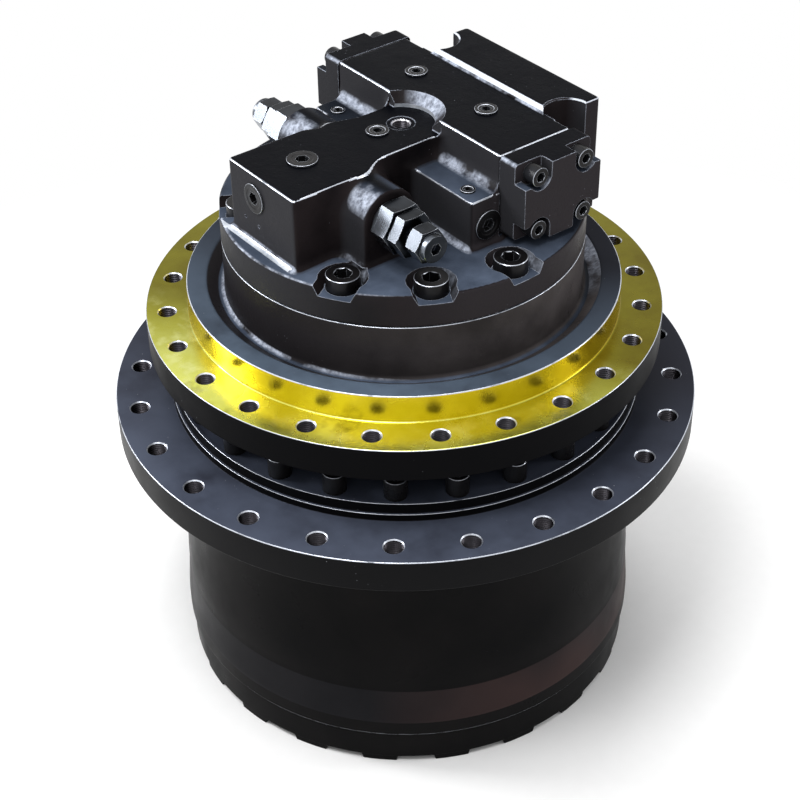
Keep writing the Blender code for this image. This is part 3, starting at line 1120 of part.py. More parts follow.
def stage_1():
    """The fast stage: carrier plate with pins and three planets. Its sun is cut on the drive shaft."""
    carrier = ring("stage_1_carrier", bore(SPLINE_HUB_RADIUS + GAP), STAGE_1_PLATE_RADIUS,
                   STAGE_1_PLATE_BOTTOM, STAGE_1_PLATE_TOP)
    head_top = STAGE_1_BOTTOM - PIN_HEAD_GAP
    head_bottom = head_top - PIN_HEAD_HEIGHT
    join(carrier, carrier_pins("stage_1_pins", STAGE_1_PIN_RADIUS, head_bottom + GAP,
                               STAGE_1_PLATE_BOTTOM + OVERRUN))
    join(carrier, carrier_pins("stage_1_pin_heads", PIN_HEAD_RADIUS, head_bottom, head_top))
    finish(carrier, "gear_steel")
    for index in range(PLANET_COUNT):
        planet_gear("stage_1_planet_%d" % (index + 1), index, STAGE_1_BOTTOM, STAGE_1_TOP,
                    STAGE_1_PIN_RADIUS + GAP)


def stage_2():
    """The slow stage: carrier fixed to the spindle, three planets, and the sun driven by stage 1."""
    carrier = ring("stage_2_carrier", STAGE_2_CARRIER_BORE, STAGE_2_CARRIER_RADIUS, STAGE_2_PLATE_BOTTOM,
                   STAGE_2_CARRIER_TOP)
    cut(carrier, carrier_pins("planet_windows", STAGE_2_WINDOW_RADIUS, STAGE_2_WINDOW_BOTTOM,
                              STAGE_2_WINDOW_TOP, MEDIUM_ROUND))
    join(carrier, carrier_pins("stage_2_pins", STAGE_2_PIN_RADIUS, STAGE_2_WINDOW_BOTTOM - OVERRUN,
                               STAGE_2_WINDOW_TOP + OVERRUN))
    finish(carrier, "gear_steel")
    for index in range(PLANET_COUNT):
        planet_gear("stage_2_planet_%d" % (index + 1), index, STAGE_2_BOTTOM, STAGE_2_TOP,
                    STAGE_2_PIN_RADIUS + GAP)
    hole = circle(bore(SUN_BORE_RADIUS), MEDIUM_ROUND)
    sun = extruded("stage_2_sun", [sun_outline(), hole], STAGE_2_WINDOW_BOTTOM, STAGE_2_WINDOW_TOP)
    join(sun, ring("sun_spline_hub", bore(SUN_BORE_RADIUS), SPLINE_HUB_RADIUS, STAGE_1_PLATE_BOTTOM,
                   STAGE_2_BOTTOM))
    finish(sun, "gear_steel")


def drive_shaft():
    """The shaft from the motor down to the first sun, whose teeth are cut on it, and its support bearing."""
    profile = [(0, SHAFT_TOP), (SHAFT_UPPER_RADIUS, SHAFT_TOP), (SHAFT_UPPER_RADIUS, MOTOR_CHAMBER_FLOOR),
               (SHAFT_RADIUS, MOTOR_CHAMBER_FLOOR), (SHAFT_RADIUS, SHAFT_BOTTOM), (0, SHAFT_BOTTOM)]
    shaft = turned("drive_shaft", profile, MEDIUM_ROUND)
    join(shaft, extruded("stage_1_sun", [sun_outline()], STAGE_1_BOTTOM, STAGE_1_TOP))
    finish(shaft, "gear_steel")
    bearing = ring("shaft_bearing", bore(SHAFT_RADIUS + GAP), SHAFT_BEARING_RADIUS - GAP,
                   SHAFT_BEARING_FLOOR + GAP, MOTOR_CHAMBER_FLOOR - GAP)
    finish(bearing, "bearing_steel")


def hydraulic_motor():
    """Cylinder block, valve plate and swash plate."""
    block = ring("cylinder_block", bore(SHAFT_UPPER_RADIUS + GAP), CYLINDER_BLOCK_RADIUS,
                 CYLINDER_BLOCK_BOTTOM, CYLINDER_BLOCK_TOP)
    bores = around(CYLINDER_COUNT, CYLINDER_CIRCLE)
    cut(block, cylinders("cylinder_bores", bores, CYLINDER_RADIUS, CYLINDER_BLOCK_BOTTOM - OVERRUN,
                         CYLINDER_BLOCK_BOTTOM + CYLINDER_DEPTH, HOLE_ROUND))
    finish(block, "gear_steel")
    plate = ring("valve_plate", bore(SHAFT_UPPER_RADIUS + GAP), VALVE_PLATE_RADIUS,
                 CYLINDER_BLOCK_TOP + GAP, CASE_TOP)
    finish(plate, "bronze")
    place = at(0, 0, SWASH_PIVOT_HEIGHT)
    tilt = place @ Matrix.Rotation(SWASH_TILT, 4, 'Y')
    swash = ring("swash_plate", SWASH_HOLE_RADIUS, SWASH_RADIUS, -SWASH_THICKNESS / 2, SWASH_THICKNESS / 2,
                 MEDIUM_ROUND, tilt)
    half = ROCKER_WIDTH / 2
    rockers = [tilt @ at(0, side * (ROCKER_INNER + half), 0) @ ALONG_Y for side in (-1, 1)]
    outline = arc((0, 0), ROCKER_RADIUS, math.pi, math.tau, PIN_ROUND)
    for index, rocker in enumerate(rockers):
        join(swash, extruded("rocker_%d" % (index + 1), [outline], -half, half, rocker))
    finish(swash, "gear_steel")


def parking_brake():
    """Friction discs on the cylinder block, separators in the case, and the ring piston on top."""
    pitch = DISC_THICKNESS + GAP
    inner = bore(CYLINDER_BLOCK_RADIUS + GAP)
    height = DISC_LEDGE + GAP
    for index in range(FRICTION_DISC_COUNT):
        if index > 0:
            plate = ring("separator_disc_%d" % index, CYLINDER_BLOCK_RADIUS + DISC_INNER_CLEARANCE,
                         DISC_CHAMBER_RADIUS - GAP, height, height + DISC_THICKNESS)
            finish(plate, "dark_steel")
            height += pitch
        lining = ring("friction_disc_%d" % (index + 1), inner, DISC_CHAMBER_RADIUS - DISC_OUTER_CLEARANCE,
                      height, height + DISC_THICKNESS)
        finish(lining, "brake_lining")
        height += pitch
    head_bottom = PISTON_LEDGE + GAP
    head_top = head_bottom + BRAKE_HEAD_HEIGHT
    nose = DISC_CHAMBER_RADIUS - GAP
    profile = [(BRAKE_PISTON_INNER, head_top), (PISTON_CHAMBER_RADIUS - GAP, head_top),
               (PISTON_CHAMBER_RADIUS - GAP, head_bottom), (nose, head_bottom), (nose, height),
               (BRAKE_PISTON_INNER, height)]
    finish(turned("brake_piston", profile, MEDIUM_ROUND), "gear_steel")


def settle():
    """Apply the modifiers of every part and shade it smooth, with its real edges kept sharp."""
    bpy.context.view_layer.update()
    graph = bpy.context.evaluated_depsgraph_get()
    meshes = {item: bpy.data.meshes.new_from_object(item.evaluated_get(graph)) for item in PARTS.objects}
    for item, mesh in meshes.items():
        mesh.name = item.name
        item.modifiers.clear()
        item.data = mesh
        mesh.shade_smooth()
        mesh.set_sharp_from_angle(angle=SHARP_ANGLE)


def build():
    """Make every piece of the final drive."""
    end_cover()
    level_plugs()
    ring_gear_drum()
    hub()
    bearings()
    face_seal()
    spindle_housing()
    rear_cover()
    cover_screws()
    socket_plugs()
    valve_cap("valve_cap_front", VALVE_BODY_RIGHT, ALONG_X)
    valve_cap("valve_cap_back", VALVE_BODY_LEFT, ALONG_MINUS_X)
    counterbalance_spool()
    relief_valve("front", FRONT_BOSS_END, FRONT_RELIEF_Y, ALONG_X)
    relief_valve("back", BACK_BOSS_END, BACK_RELIEF_Y, ALONG_MINUS_X)
    stage_1()
    stage_2()
    drive_shaft()
    hydraulic_motor()
    parking_brake()
    settle()


build()
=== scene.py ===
"""Looks of an excavator final drive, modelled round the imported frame.

The drum, hub, housing, rear cover, caps, screws and valves get fine meshes in place of the
frame's plain solids, and every other solid keeps its mesh and gets a procedural finish.
All lengths are metres. The axis of rotation is Z, X runs along the valve body, and Y points
to the main ports.
"""

import json
import math

import bmesh
import bpy
import numpy as np
import openvdb
from mathutils import Matrix, Vector

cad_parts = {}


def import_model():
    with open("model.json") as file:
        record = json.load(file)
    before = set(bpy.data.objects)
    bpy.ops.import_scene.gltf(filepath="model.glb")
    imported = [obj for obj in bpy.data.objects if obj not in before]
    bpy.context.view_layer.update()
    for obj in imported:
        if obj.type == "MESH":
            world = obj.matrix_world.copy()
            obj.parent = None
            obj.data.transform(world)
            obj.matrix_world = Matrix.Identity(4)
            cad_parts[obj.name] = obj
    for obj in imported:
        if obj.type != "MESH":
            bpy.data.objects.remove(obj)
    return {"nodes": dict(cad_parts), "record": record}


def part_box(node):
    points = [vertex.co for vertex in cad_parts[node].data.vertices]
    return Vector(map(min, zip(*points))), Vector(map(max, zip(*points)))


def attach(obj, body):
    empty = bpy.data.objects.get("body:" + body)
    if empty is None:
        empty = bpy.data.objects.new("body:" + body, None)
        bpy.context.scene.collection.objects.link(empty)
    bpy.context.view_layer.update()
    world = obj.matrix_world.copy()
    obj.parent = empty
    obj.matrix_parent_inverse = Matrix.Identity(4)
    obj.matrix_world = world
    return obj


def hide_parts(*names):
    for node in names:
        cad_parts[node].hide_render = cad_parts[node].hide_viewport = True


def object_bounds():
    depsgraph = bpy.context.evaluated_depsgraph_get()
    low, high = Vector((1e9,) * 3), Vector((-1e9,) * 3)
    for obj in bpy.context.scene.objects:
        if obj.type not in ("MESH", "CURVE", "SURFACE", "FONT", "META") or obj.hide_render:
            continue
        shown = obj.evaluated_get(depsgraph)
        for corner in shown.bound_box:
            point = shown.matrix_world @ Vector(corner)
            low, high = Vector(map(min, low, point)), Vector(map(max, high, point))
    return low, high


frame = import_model()
CAD_LOW, CAD_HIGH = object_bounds()

# Resolution and clearances
FINE_ROUND = 192
MEDIUM_ROUND = 48
HEAD_ROUND = 32
HOLE_ROUND = 20
SOCKET_RIM, SOCKET_TIP, SOCKET_CHAMFER = 0.93, 0.80, 0.0006
FILLET_STEPS = 4
OVERRUN = 0.002
GAP = 0.0003
WELD_LIMIT = 0.000005
SHARP_ANGLE = math.radians(32)
CASTING_SHARP_ANGLE = math.radians(42)
CASTING_PITCH = 0.0015
CASTING_SHARE = 0.30
CASTING_HALF, CASTING_MARGIN = 0.192, 0.003
DIAGONAL = 0.7071
FAR, TINY = 1e9, 1e-12

# End cover
LUG_COUNT = 20
LUG_WIDTH = 0.037
LUG_SLOPE = 0.0025
LUG_DEPTH = 0.030
LUG_PHASE = math.radians(8.9)
LUG_HEIGHT = 0.007
LUG_STEPS = 6
LUG_EDGE = 0.0007
LUG_INSET = 0.0006
COVER_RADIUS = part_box("end_cover")[1].x
COVER_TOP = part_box("end_cover")[1].z
COVER_EDGE = 0.0022
COVER_BOLT_COUNT = 20
COVER_BOLT_CIRCLE = 0.205
COVER_BOLT_FLATS = 0.022
COVER_BOLT_HEIGHT = 0.0062
WASHER_RADII = (0.0105, 0.0145)
WASHER_BOTTOM, WASHER_TOP, WASHER_EDGE = -0.0016, -0.0002, 0.0004
THRUST_PAD_RADIUS = 0.030
THRUST_PAD_TOP = 0.034
COVER_FLOOR = 0.022
COVER_WALL = 0.050
LEVEL_PLUG_CIRCLE, LEVEL_PLUG_RADIUS = 0.135, 0.0125
LEVEL_PLUG_ANGLES = (math.radians(90), math.radians(270))

# Drum
DRUM_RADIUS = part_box("ring_gear_drum")[1].x
DRUM_BOTTOM, DRUM_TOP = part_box("ring_gear_drum")[0].z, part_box("ring_gear_drum")[1].z
DRUM_NECK_RADIUS = 0.247
DRUM_NECK_START = 0.235
CREASE_RADIUS, CREASE_HEIGHT = 0.2545, 0.107
BAND_BOTTOM = 0.064
DRUM_TOP_FLARE = 0.252
DRUM_TOP_FLARE_HEIGHT = 0.020
DRUM_BORE_RADIUS = 0.2249
DRUM_EDGE = 0.0022
SHOULDER_STEPS = 14

# Hub
FLANGE_BOTTOM = 0.3076
FLANGE_TOP = 0.3445
FLANGE_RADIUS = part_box("hub")[1].x
FLANGE_EDGE = 0.0016
EDGE_REACH = 0.0011
FLANGE_HOLE_COUNT = 24
FLANGE_HOLE_CIRCLE = 0.290
FLANGE_HOLE_PHASE = math.radians(4.8)
HUB_THREAD = (0.0100, 0.0113)
FRAME_THREAD = (0.0092, 0.0104)
THREAD_PITCH = 0.0025
HOLE_CHAMFER = 0.0011
STEP_RADIUS = 0.2525
STEP_TOP = 0.3524
COLLAR_RADIUS = 0.250
COLLAR_TOP = 0.364
COLLAR_SEAT = 0.363
COLLAR_RIM = 0.0035
HUB_BOLT_CIRCLE = 0.234
HUB_BOLT_RADIUS = 0.012
HUB_BOLT_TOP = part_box("hub")[1].z
HUB_BOLT_SOCKET = 0.0072
HUB_BOLT_SOCKET_DEPTH = 0.010
SEAL_SEAT_RADIUS = 0.2095
SEAL_SEAT_FLOOR = 0.349
HUB_LIP_RADIUS = 0.192
HUB_LIP_BOTTOM = 0.3438
BEARING_SEAT_RADIUS = 0.2005
SPIGOT_RADIUS = 0.2523
SPIGOT_SEAT = 0.3096
SKIRT_RADIUS = 0.2243
SKIRT_BOTTOM = 0.222
BEARING_RIB_RADIUS = 0.1905
LOWER_SEAT_TOP = 0.2673
UPPER_SEAT_BOTTOM = 0.3012

# Spindle housing
FRAME_FLANGE_BOTTOM = 0.4114
FRAME_FLANGE_TOP = 0.4474
FRAME_FLANGE_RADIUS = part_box("spindle_housing")[1].x
FRAME_FLANGE_EDGE = 0.0012
PAINT_SEAM = 0.0009
FRAME_HOLE_COUNT = 24
FRAME_HOLE_CIRCLE = 0.250
PILOT_RADIUS = 0.2274
PILOT_TOP = 0.4778
PILOT_EDGE = 0.0018
PILOT_INNER_RADIUS = 0.2068
GROOVE_FLOOR = 0.4687
GROOVE_RADIUS = 0.1934
CASE_RADIUS = 0.1875
CASE_TOP = 0.5292
CASE_EDGE = 0.0010
SEAL_BOSS_RADIUS = 0.216
SEAL_BOSS_BOTTOM = 0.368
SEAL_POCKET_TOP = 0.383
SPINDLE_WAIST_RADIUS = 0.187
SPINDLE_SHOULDER = 0.3438
NECK_RADIUS = 0.150
NUT_THREAD_RADIUS = 0.140
LOWER_BEARING_BOTTOM = 0.225
SPINDLE_BOTTOM = 0.214
CHAMBERS = ((0.1465, 0.500), (0.1365, 0.440), (0.1125, 0.345), (0.0455, 0.316))
SHAFT_BORE_RADIUS = 0.040

# Rear cover casting
COVER_SEAT = 0.5295
REAR_COVER_TOP = 0.5652
BLOCK_FOOT = 0.536
COVER_CHAMFER = 0.0014
BLOCK_CHAMFER = 0.0012
ARCH_CHAMFER = 0.002
RELIEF_TOP = 0.6424
RELIEF_FRONT = -0.1686
VALVE_BODY_LEFT, VALVE_BODY_RIGHT = -0.134, 0.125
VALVE_BODY_FRONT, VALVE_BODY_BACK = 0.021, 0.110
VALVE_BODY_TOP = 0.656
PORT_SLAB_SIDE = 0.104
PORT_SLAB_FRONT, PORT_SLAB_BACK = 0.108, 0.170
PORT_SLAB_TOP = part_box("rear_cover")[1].z
SIDE_BLOCK_SIDE = 0.128
SIDE_BLOCK_FRONT = -0.016
SIDE_BLOCK_TOP = 0.6184
RELIEF_AXIS_HEIGHT = 0.6084
RELIEF_BOSS_RADIUS = 0.031
FRONT_RELIEF_Y, BACK_RELIEF_Y = -0.083, -0.052
FRONT_BOSS_END, BACK_BOSS_END = 0.088, -0.102
OPEN_PORT = (-0.007, 0.0043)
OPEN_PORT_DEPTH = 0.030
OPEN_PORT_THREAD = (0.0088, 0.0098, 0.0020)
PORT_FACE_RADIUS, PORT_FACE_DEPTH = 0.0145, 0.0005
RECESS_RADIUS, RECESS_SLOPE = 0.0345, 0.0100
FRONT_PITS = ((-0.0324, 0.5886), (-0.0101, 0.5866))
PIT_RADIUS, PIT_DEPTH = 0.0017, 0.004
FRONT_STRIP = ((-0.076, 0.046), (RELIEF_FRONT - 0.007, RELIEF_FRONT - 0.0015), REAR_COVER_TOP + 0.004)
SCALLOP_PLACE = (0.103, 0.127)
SCALLOP_RADIUS = 0.024
BOSS_BLEND = 0.020
LEDGE_BLEND = 0.016
FOOT_BLEND = 0.010
MAIN_PORT_X = 0.050
MAIN_PORT_HEIGHT = 0.606
MAIN_PORT_RADIUS = 0.0165
MAIN_PORT_DEPTH = 0.045
PORT_BOLT_PLACE = (0.01385, 0.0286)
PORT_BOLT_THREAD = (0.0048, 0.0058, 0.0018)
PORT_BOLT_DEPTH = 0.022
SPOOL_BORE_RADIUS = 0.021
NOSE_BORE_RADIUS = 0.0168
NOSE_BORE_DEPTH = 0.028

# Cover screws
COVER_SCREW_ANGLES = tuple(math.radians(a) for a in (-58.4, -28.4, 1.6, 50, 130, 178.4, 208.4, 238.4))
COVER_SCREW_CIRCLE = 0.163
COVER_SCREW_RADIUS = 0.017
COVER_SCREW_TOP = 0.5695
COVER_SCREW_HEIGHT = 0.022
COVER_SCREW_SHANK = 0.011
COVER_SCREW_LENGTH = 0.040
COVER_SCREW_SOCKET = 0.0096
COVER_SCREW_SOCKET_DEPTH = 0.012
POCKET_FLOOR = 0.5545
POCKET_RADIUS = 0.0235
POCKET_FLOOR_HALF, POCKET_TOP_HALF = 0.0165, 0.0222
POCKET_BULGE, POCKET_OPENING = 1.12, math.radians(62)
POCKET_STEPS = 12
COUNTERBORE_RADIUS = 0.0176

# Valve caps
SPOOL_Y = 0.068
SPOOL_HEIGHT = 0.6145
CAP_LENGTH = 0.039
CAP_FRONT, CAP_BACK = 0.020, 0.117
CAP_BOTTOM = 0.5724
CAP_CORNER = 0.006
CAP_BEVEL = 0.0012
CAP_SCREW_SIDE_INSET, CAP_SCREW_INSET = 0.0195, 0.0128
CAP_SCREW_RADIUS = 0.0098
CAP_SCREW_HEIGHT = 0.0152
CAP_SCREW_SOCKET = 0.0054
CAP_SCREW_SOCKET_DEPTH = 0.008
CAP_NOTCH_RADIUS = 0.0135
CAP_NOTCH_DEPTH = 0.016
CAP_NOTCH_FOOT = 0.55
CAP_NOTCH_START, CAP_NOTCH_SWEEP, CAP_NOTCH_STEPS = -33, -147, 14
CAP_CHAMBER_RADIUS, CAP_CHAMBER_DEPTH = 0.017, 0.024

# Relief valves
CARTRIDGE_FLATS, CARTRIDGE_LENGTH = 0.046, 0.024
CARTRIDGE_NOSE_RADIUS, CARTRIDGE_NOSE_LENGTH = 0.016, 0.026
CARTRIDGE_COLLAR_RADIUS = 0.0225
LOCK_NUT_FLATS, LOCK_NUT_LENGTH = 0.041, 0.0145
HEX_CHAMFER, ADJUSTER_CHAMFER = 0.0022, 0.0020
CARTRIDGE_COLLAR_TOP, CARTRIDGE_GROOVE = 0.004, 0.0025
ADJUSTER_NECK = 0.006
ADJUSTER_FLATS, ADJUSTER_HEX_LENGTH = 0.032, 0.017
ADJUSTER_DISC_RADIUS, ADJUSTER_DISC_LENGTH = 0.014, 0.007
ADJUSTER_STEM_RADIUS, ADJUSTER_STEM_DEPTH = 0.0105, 0.012
ADJUSTER_SOCKET, ADJUSTER_SOCKET_DEPTH = 0.0062, 0.007

# Plugs: head radius, shank radius and socket radius
LARGE_PLUG = (0.0155, 0.011, 0.0070)
SMALL_PLUG = (0.0117, 0.008, 0.0052)
TINY_PLUG = (0.0075, 0.005, 0.0035)
VALVE_PLUG = (0.0117, 0.009, 0.0052)
PLUG_HEAD_HEIGHT = 0.0020
PLUG_SHANK_LENGTH = 0.012
PLUG_SOCKET_DEPTH = 0.007

# Relief block's outline in X and Y, each corner with its fillet
RELIEF_PLAN = ((-0.058, RELIEF_FRONT, 0.004), (0.052, RELIEF_FRONT, 0.004), (0.050, -0.113, 0.006),
               (0.036, -0.062, 0.008), (0.035, 0.030, 0.001), (-0.045, 0.030, 0.001),
               (-0.045, -0.067, 0.006), (-0.058, -0.080, 0.006))

# Floor, and lamps: name, azimuth from -Y, elevation, distance, size and power
FLOOR_RINGS = (0.0, 0.3, 0.6, 1.0, 2.0, 6.0)
FLOOR_THICKNESS, FLOOR_GAP = 0.01, 0.0002
FLOOR_NEAR, FLOOR_FAR = 0.45, 1.15
LAMPS = (("key", 20, 66, 2.6, (1.0, 1.0), 40), ("window", -46, 29, 2.6, (0.6, 1.1), 34),
         ("right_strip", 142, 22, 2.6, (0.4, 1.4), 14), ("back_fill", 215, 74, 2.8, (1.2, 1.2), 24))
LAMP_TARGET = (0, 0, 0.35)
DIFFUSE_WORLD = 0.55

# Camera, an 80 mm lens looking down at 37 degrees
CAMERA_AZIMUTH = math.radians(52.4)
CAMERA_PITCH = 0.6453
CAMERA_YAW = -0.0038
CAMERA_ROLL = -0.0153
CAMERA_DISTANCE = 1.5708
CAMERA_HEIGHT = 1.0382 + FRAME_FLANGE_TOP
CAMERA_LENS = 79.85
SENSOR_WIDTH = 36

ALONG_X = Matrix(((0, 0, 1), (1, 0, 0), (0, 1, 0))).to_4x4()
ALONG_MINUS_X = Matrix.Rotation(math.pi, 4, 'Z') @ ALONG_X
ALONG_Y = Matrix.Rotation(math.pi / 2, 4, 'Z') @ ALONG_X
ALONG_MINUS_Y = Matrix.Rotation(-math.pi / 2, 4, 'Z') @ ALONG_X
UPRIGHT = Matrix.Identity(4)
UP = (0, 0, 1)
PAINTED_LIGHT_FRONT = (-0.20, -0.97, 0.12)


def at(x, y, z):
    """A move without rotation."""
    return Matrix.Translation((x, y, z))


def polar(radius, angle):
    """A point of a circle."""
    return radius * math.cos(angle), radius * math.sin(angle)


def circle(radius, segments):
    """Points of a full circle."""
    return [polar(radius, math.tau * i / segments) for i in range(segments)]


def axial(point):
    """Distance from the main axis."""
    return math.hypot(point.x, point.y)


def around(count, radius, phase=0):
    """Place matrices round the main axis, each turned to its own direction."""
    return [Matrix.Rotation(phase + math.tau * i / count, 4, 'Z') @ at(radius, 0, 0) for i in range(count)]


def rounded(points, steps=FILLET_STEPS):
    """A closed outline of (a, b, fillet) points with each corner eased by its own fillet."""
    result = []
    count = len(points)
    for i, (a, b, fillet) in enumerate(points):
        here = Vector((a, b))
        if fillet <= 0:
            result.append((a, b))
            continue
        before = Vector(points[i - 1][:2])
        after = Vector(points[(i + 1) % count][:2])
        start = here + (before - here).normalized() * min(fillet, (before - here).length / 2)
        end = here + (after - here).normalized() * min(fillet, (after - here).length / 2)
        for step in range(steps + 1):
            t = step / steps
            point = start * (1 - t) ** 2 + here * 2 * t * (1 - t) + end * t ** 2
            result.append((point.x, point.y))
    return result


# Meshes

def new_object(name, mesh, place=UPRIGHT):
    """An object in the scene."""
    item = bpy.data.objects.new(name, mesh)
    item.matrix_world = place
    bpy.context.scene.collection.objects.link(item)
    return item


def remove(item):
    """Take a helper out of the scene."""
    bpy.data.objects.remove(item, do_unlink=True)


def solid(name, builder):
    """A closed piece from a bmesh, welded and facing out."""
    bmesh.ops.remove_doubles(builder, verts=builder.verts, dist=WELD_LIMIT)
    bmesh.ops.dissolve_degenerate(builder, edges=builder.edges, dist=WELD_LIMIT)
    bmesh.ops.recalc_face_normals(builder, faces=builder.faces)
    mesh = bpy.data.meshes.new(name)
    builder.to_mesh(mesh)
    builder.free()
    return new_object(name, mesh)


def add_lathe(builder, profile, segments, place=UPRIGHT):
    """A closed (radius, height) profile turned about local Z."""
    rows = []
    for j in range(segments):
        angle = math.tau * j / segments
        c, s = math.cos(angle), math.sin(angle)
        rows.append([builder.verts.new(place @ Vector((r * c, r * s, z))) for r, z in profile])
    count = len(profile)
    for j in range(segments):
        here, there = rows[j], rows[(j + 1) % segments]
        for i in range(count):
            k = (i + 1) % count
            if profile[i][0] < WELD_LIMIT and profile[k][0] < WELD_LIMIT:
                continue
            corners = [here[i], there[i], there[k], here[k]]
            if profile[i][0] < WELD_LIMIT:
                corners = [here[i], there[k], here[k]]
            elif profile[k][0] < WELD_LIMIT:
                corners = [here[i], there[i], here[k]]
            builder.faces.new(corners)


def lathe(name, profile, segments=FINE_ROUND):
    """A turned piece of its own."""
    builder = bmesh.new()
    add_lathe(builder, profile, segments)
    return solid(name, builder)


def add_ring(builder, outline, height, place=UPRIGHT):
    """Corners of an outline at one height."""
    return [builder.verts.new(place @ Vector((x, y, height))) for x, y in outline]


def add_band(builder, low, high):
    """Faces between two rings of corners."""
    for i in range(len(low)):
        k = (i + 1) % len(low)
        builder.faces.new([low[i], low[k], high[k], high[i]])


def add_block(builder, low, high):
    """A closed solid between two rings of corners."""
    builder.faces.new(list(reversed(low)))
    builder.faces.new(high)
    add_band(builder, low, high)


def add_prism(builder, outline, bottom, top):
    """A closed outline extruded along Z."""
    add_block(builder, add_ring(builder, outline, bottom), add_ring(builder, outline, top))


def prism(name, outline, bottom, top):
    """An extruded piece of its own."""
    builder = bmesh.new()
    add_prism(builder, outline, bottom, top)
    return solid(name, builder)


def add_thread(builder, place, minor, major, pitch, bottom, top, chamfer, blind=False):
    """A cutter for a tapped hole along local Z: a helical groove with a chamfer at each open end."""
    low = bottom + (0 if blind else chamfer)
    high = top - chamfer
    rows = 2 * math.ceil((high - low) / pitch) + 4
    grid = []
    for i in range(rows + 3):
        row = []
        for j in range(HOLE_ROUND):
            z = low - pitch + (i / 2 + j / HOLE_ROUND) * pitch
            inside = low < z < high
            radius = major if inside and i % 2 else minor
            x, y = polar(radius, math.tau * j / HOLE_ROUND)
            row.append(builder.verts.new(place @ Vector((x, y, min(max(z, low), high)))))
        grid.append(row)
    for i in range(rows):
        for j in range(HOLE_ROUND):
            if j + 1 < HOLE_ROUND:
                corners = [grid[i][j], grid[i][j + 1], grid[i + 1][j + 1], grid[i + 1][j]]
            else:
                corners = [grid[i][j], grid[i + 2][0], grid[i + 3][0], grid[i + 1][j]]
            builder.faces.new(corners)
    mouths = [(high, top, 1)] if blind else [(high, top, 1), (low, bottom, -1)]
    for start, face, side in mouths:
        steps = ((minor, start), (minor + chamfer, face), (minor + chamfer + OVERRUN, face + side * OVERRUN))
        rings = [add_ring(builder, circle(r, HOLE_ROUND), z, place) for r, z in steps]
        for lower, upper in zip(rings, rings[1:]):
            add_band(builder, lower, upper)
        builder.faces.new(rings[-1])
    if blind:
        tip = builder.verts.new(place @ Vector((0, 0, low - minor / 2)))
        ring = add_ring(builder, circle(minor, HOLE_ROUND), low, place)
        for j in range(HOLE_ROUND):
            builder.faces.new([ring[j], ring[(j + 1) % HOLE_ROUND], tip])


def applied(item):
    """Make the piece's modifiers real."""
    bpy.context.view_layer.update()
    graph = bpy.context.evaluated_depsgraph_get()
    mesh = bpy.data.meshes.new_from_object(item.evaluated_get(graph))
    item.modifiers.clear()
    item.data = mesh
    return item


def boolean(item, tool, operation='DIFFERENCE', solver='EXACT'):
    """Apply a Boolean and remove the tool."""
    change = item.modifiers.new("change", 'BOOLEAN')
    change.operation = operation
    change.solver = solver
    change.object = tool
    if solver == 'EXACT':
        change.material_mode = 'TRANSFER'
    applied(item)
    remove(tool)
    return item


def bevelled(item, width):
    """Ease the sharp edges."""
    bevel = item.modifiers.new("edges", 'BEVEL')
    bevel.width = width
    bevel.segments = 2
    bevel.limit_method = 'ANGLE'
    bevel.angle_limit = SHARP_ANGLE
    return applied(item)


def paint(item, *finishes):
    """Give the piece its materials; the first one covers it."""
    if item.data.materials:
        item.data.materials.clear()
    for finish in finishes:
        item.data.materials.append(finish)
    return item


def paint_where(item, index, rule):
    """Give one material slot to the faces whose centre and normal pass the rule."""
    for face in item.data.polygons:
        if rule(face.center, face.normal):
            face.material_index = index


# Finishes

def feed(tree, node, inputs):
    """Link sockets into a node's inputs, or set the inputs to values."""
    for name, value in inputs.items():
        if isinstance(value, bpy.types.NodeSocket):
            tree.links.new(value, node.inputs[name])
        else:
            node.inputs[name].default_value = value


def add_node(tree, kind, inputs, **settings):
    """A shader node with its settings and inputs."""
    node = tree.nodes.new("ShaderNode" + kind)
    for name, value in settings.items():
        setattr(node, name, value)
    feed(tree, node, inputs)
    return node


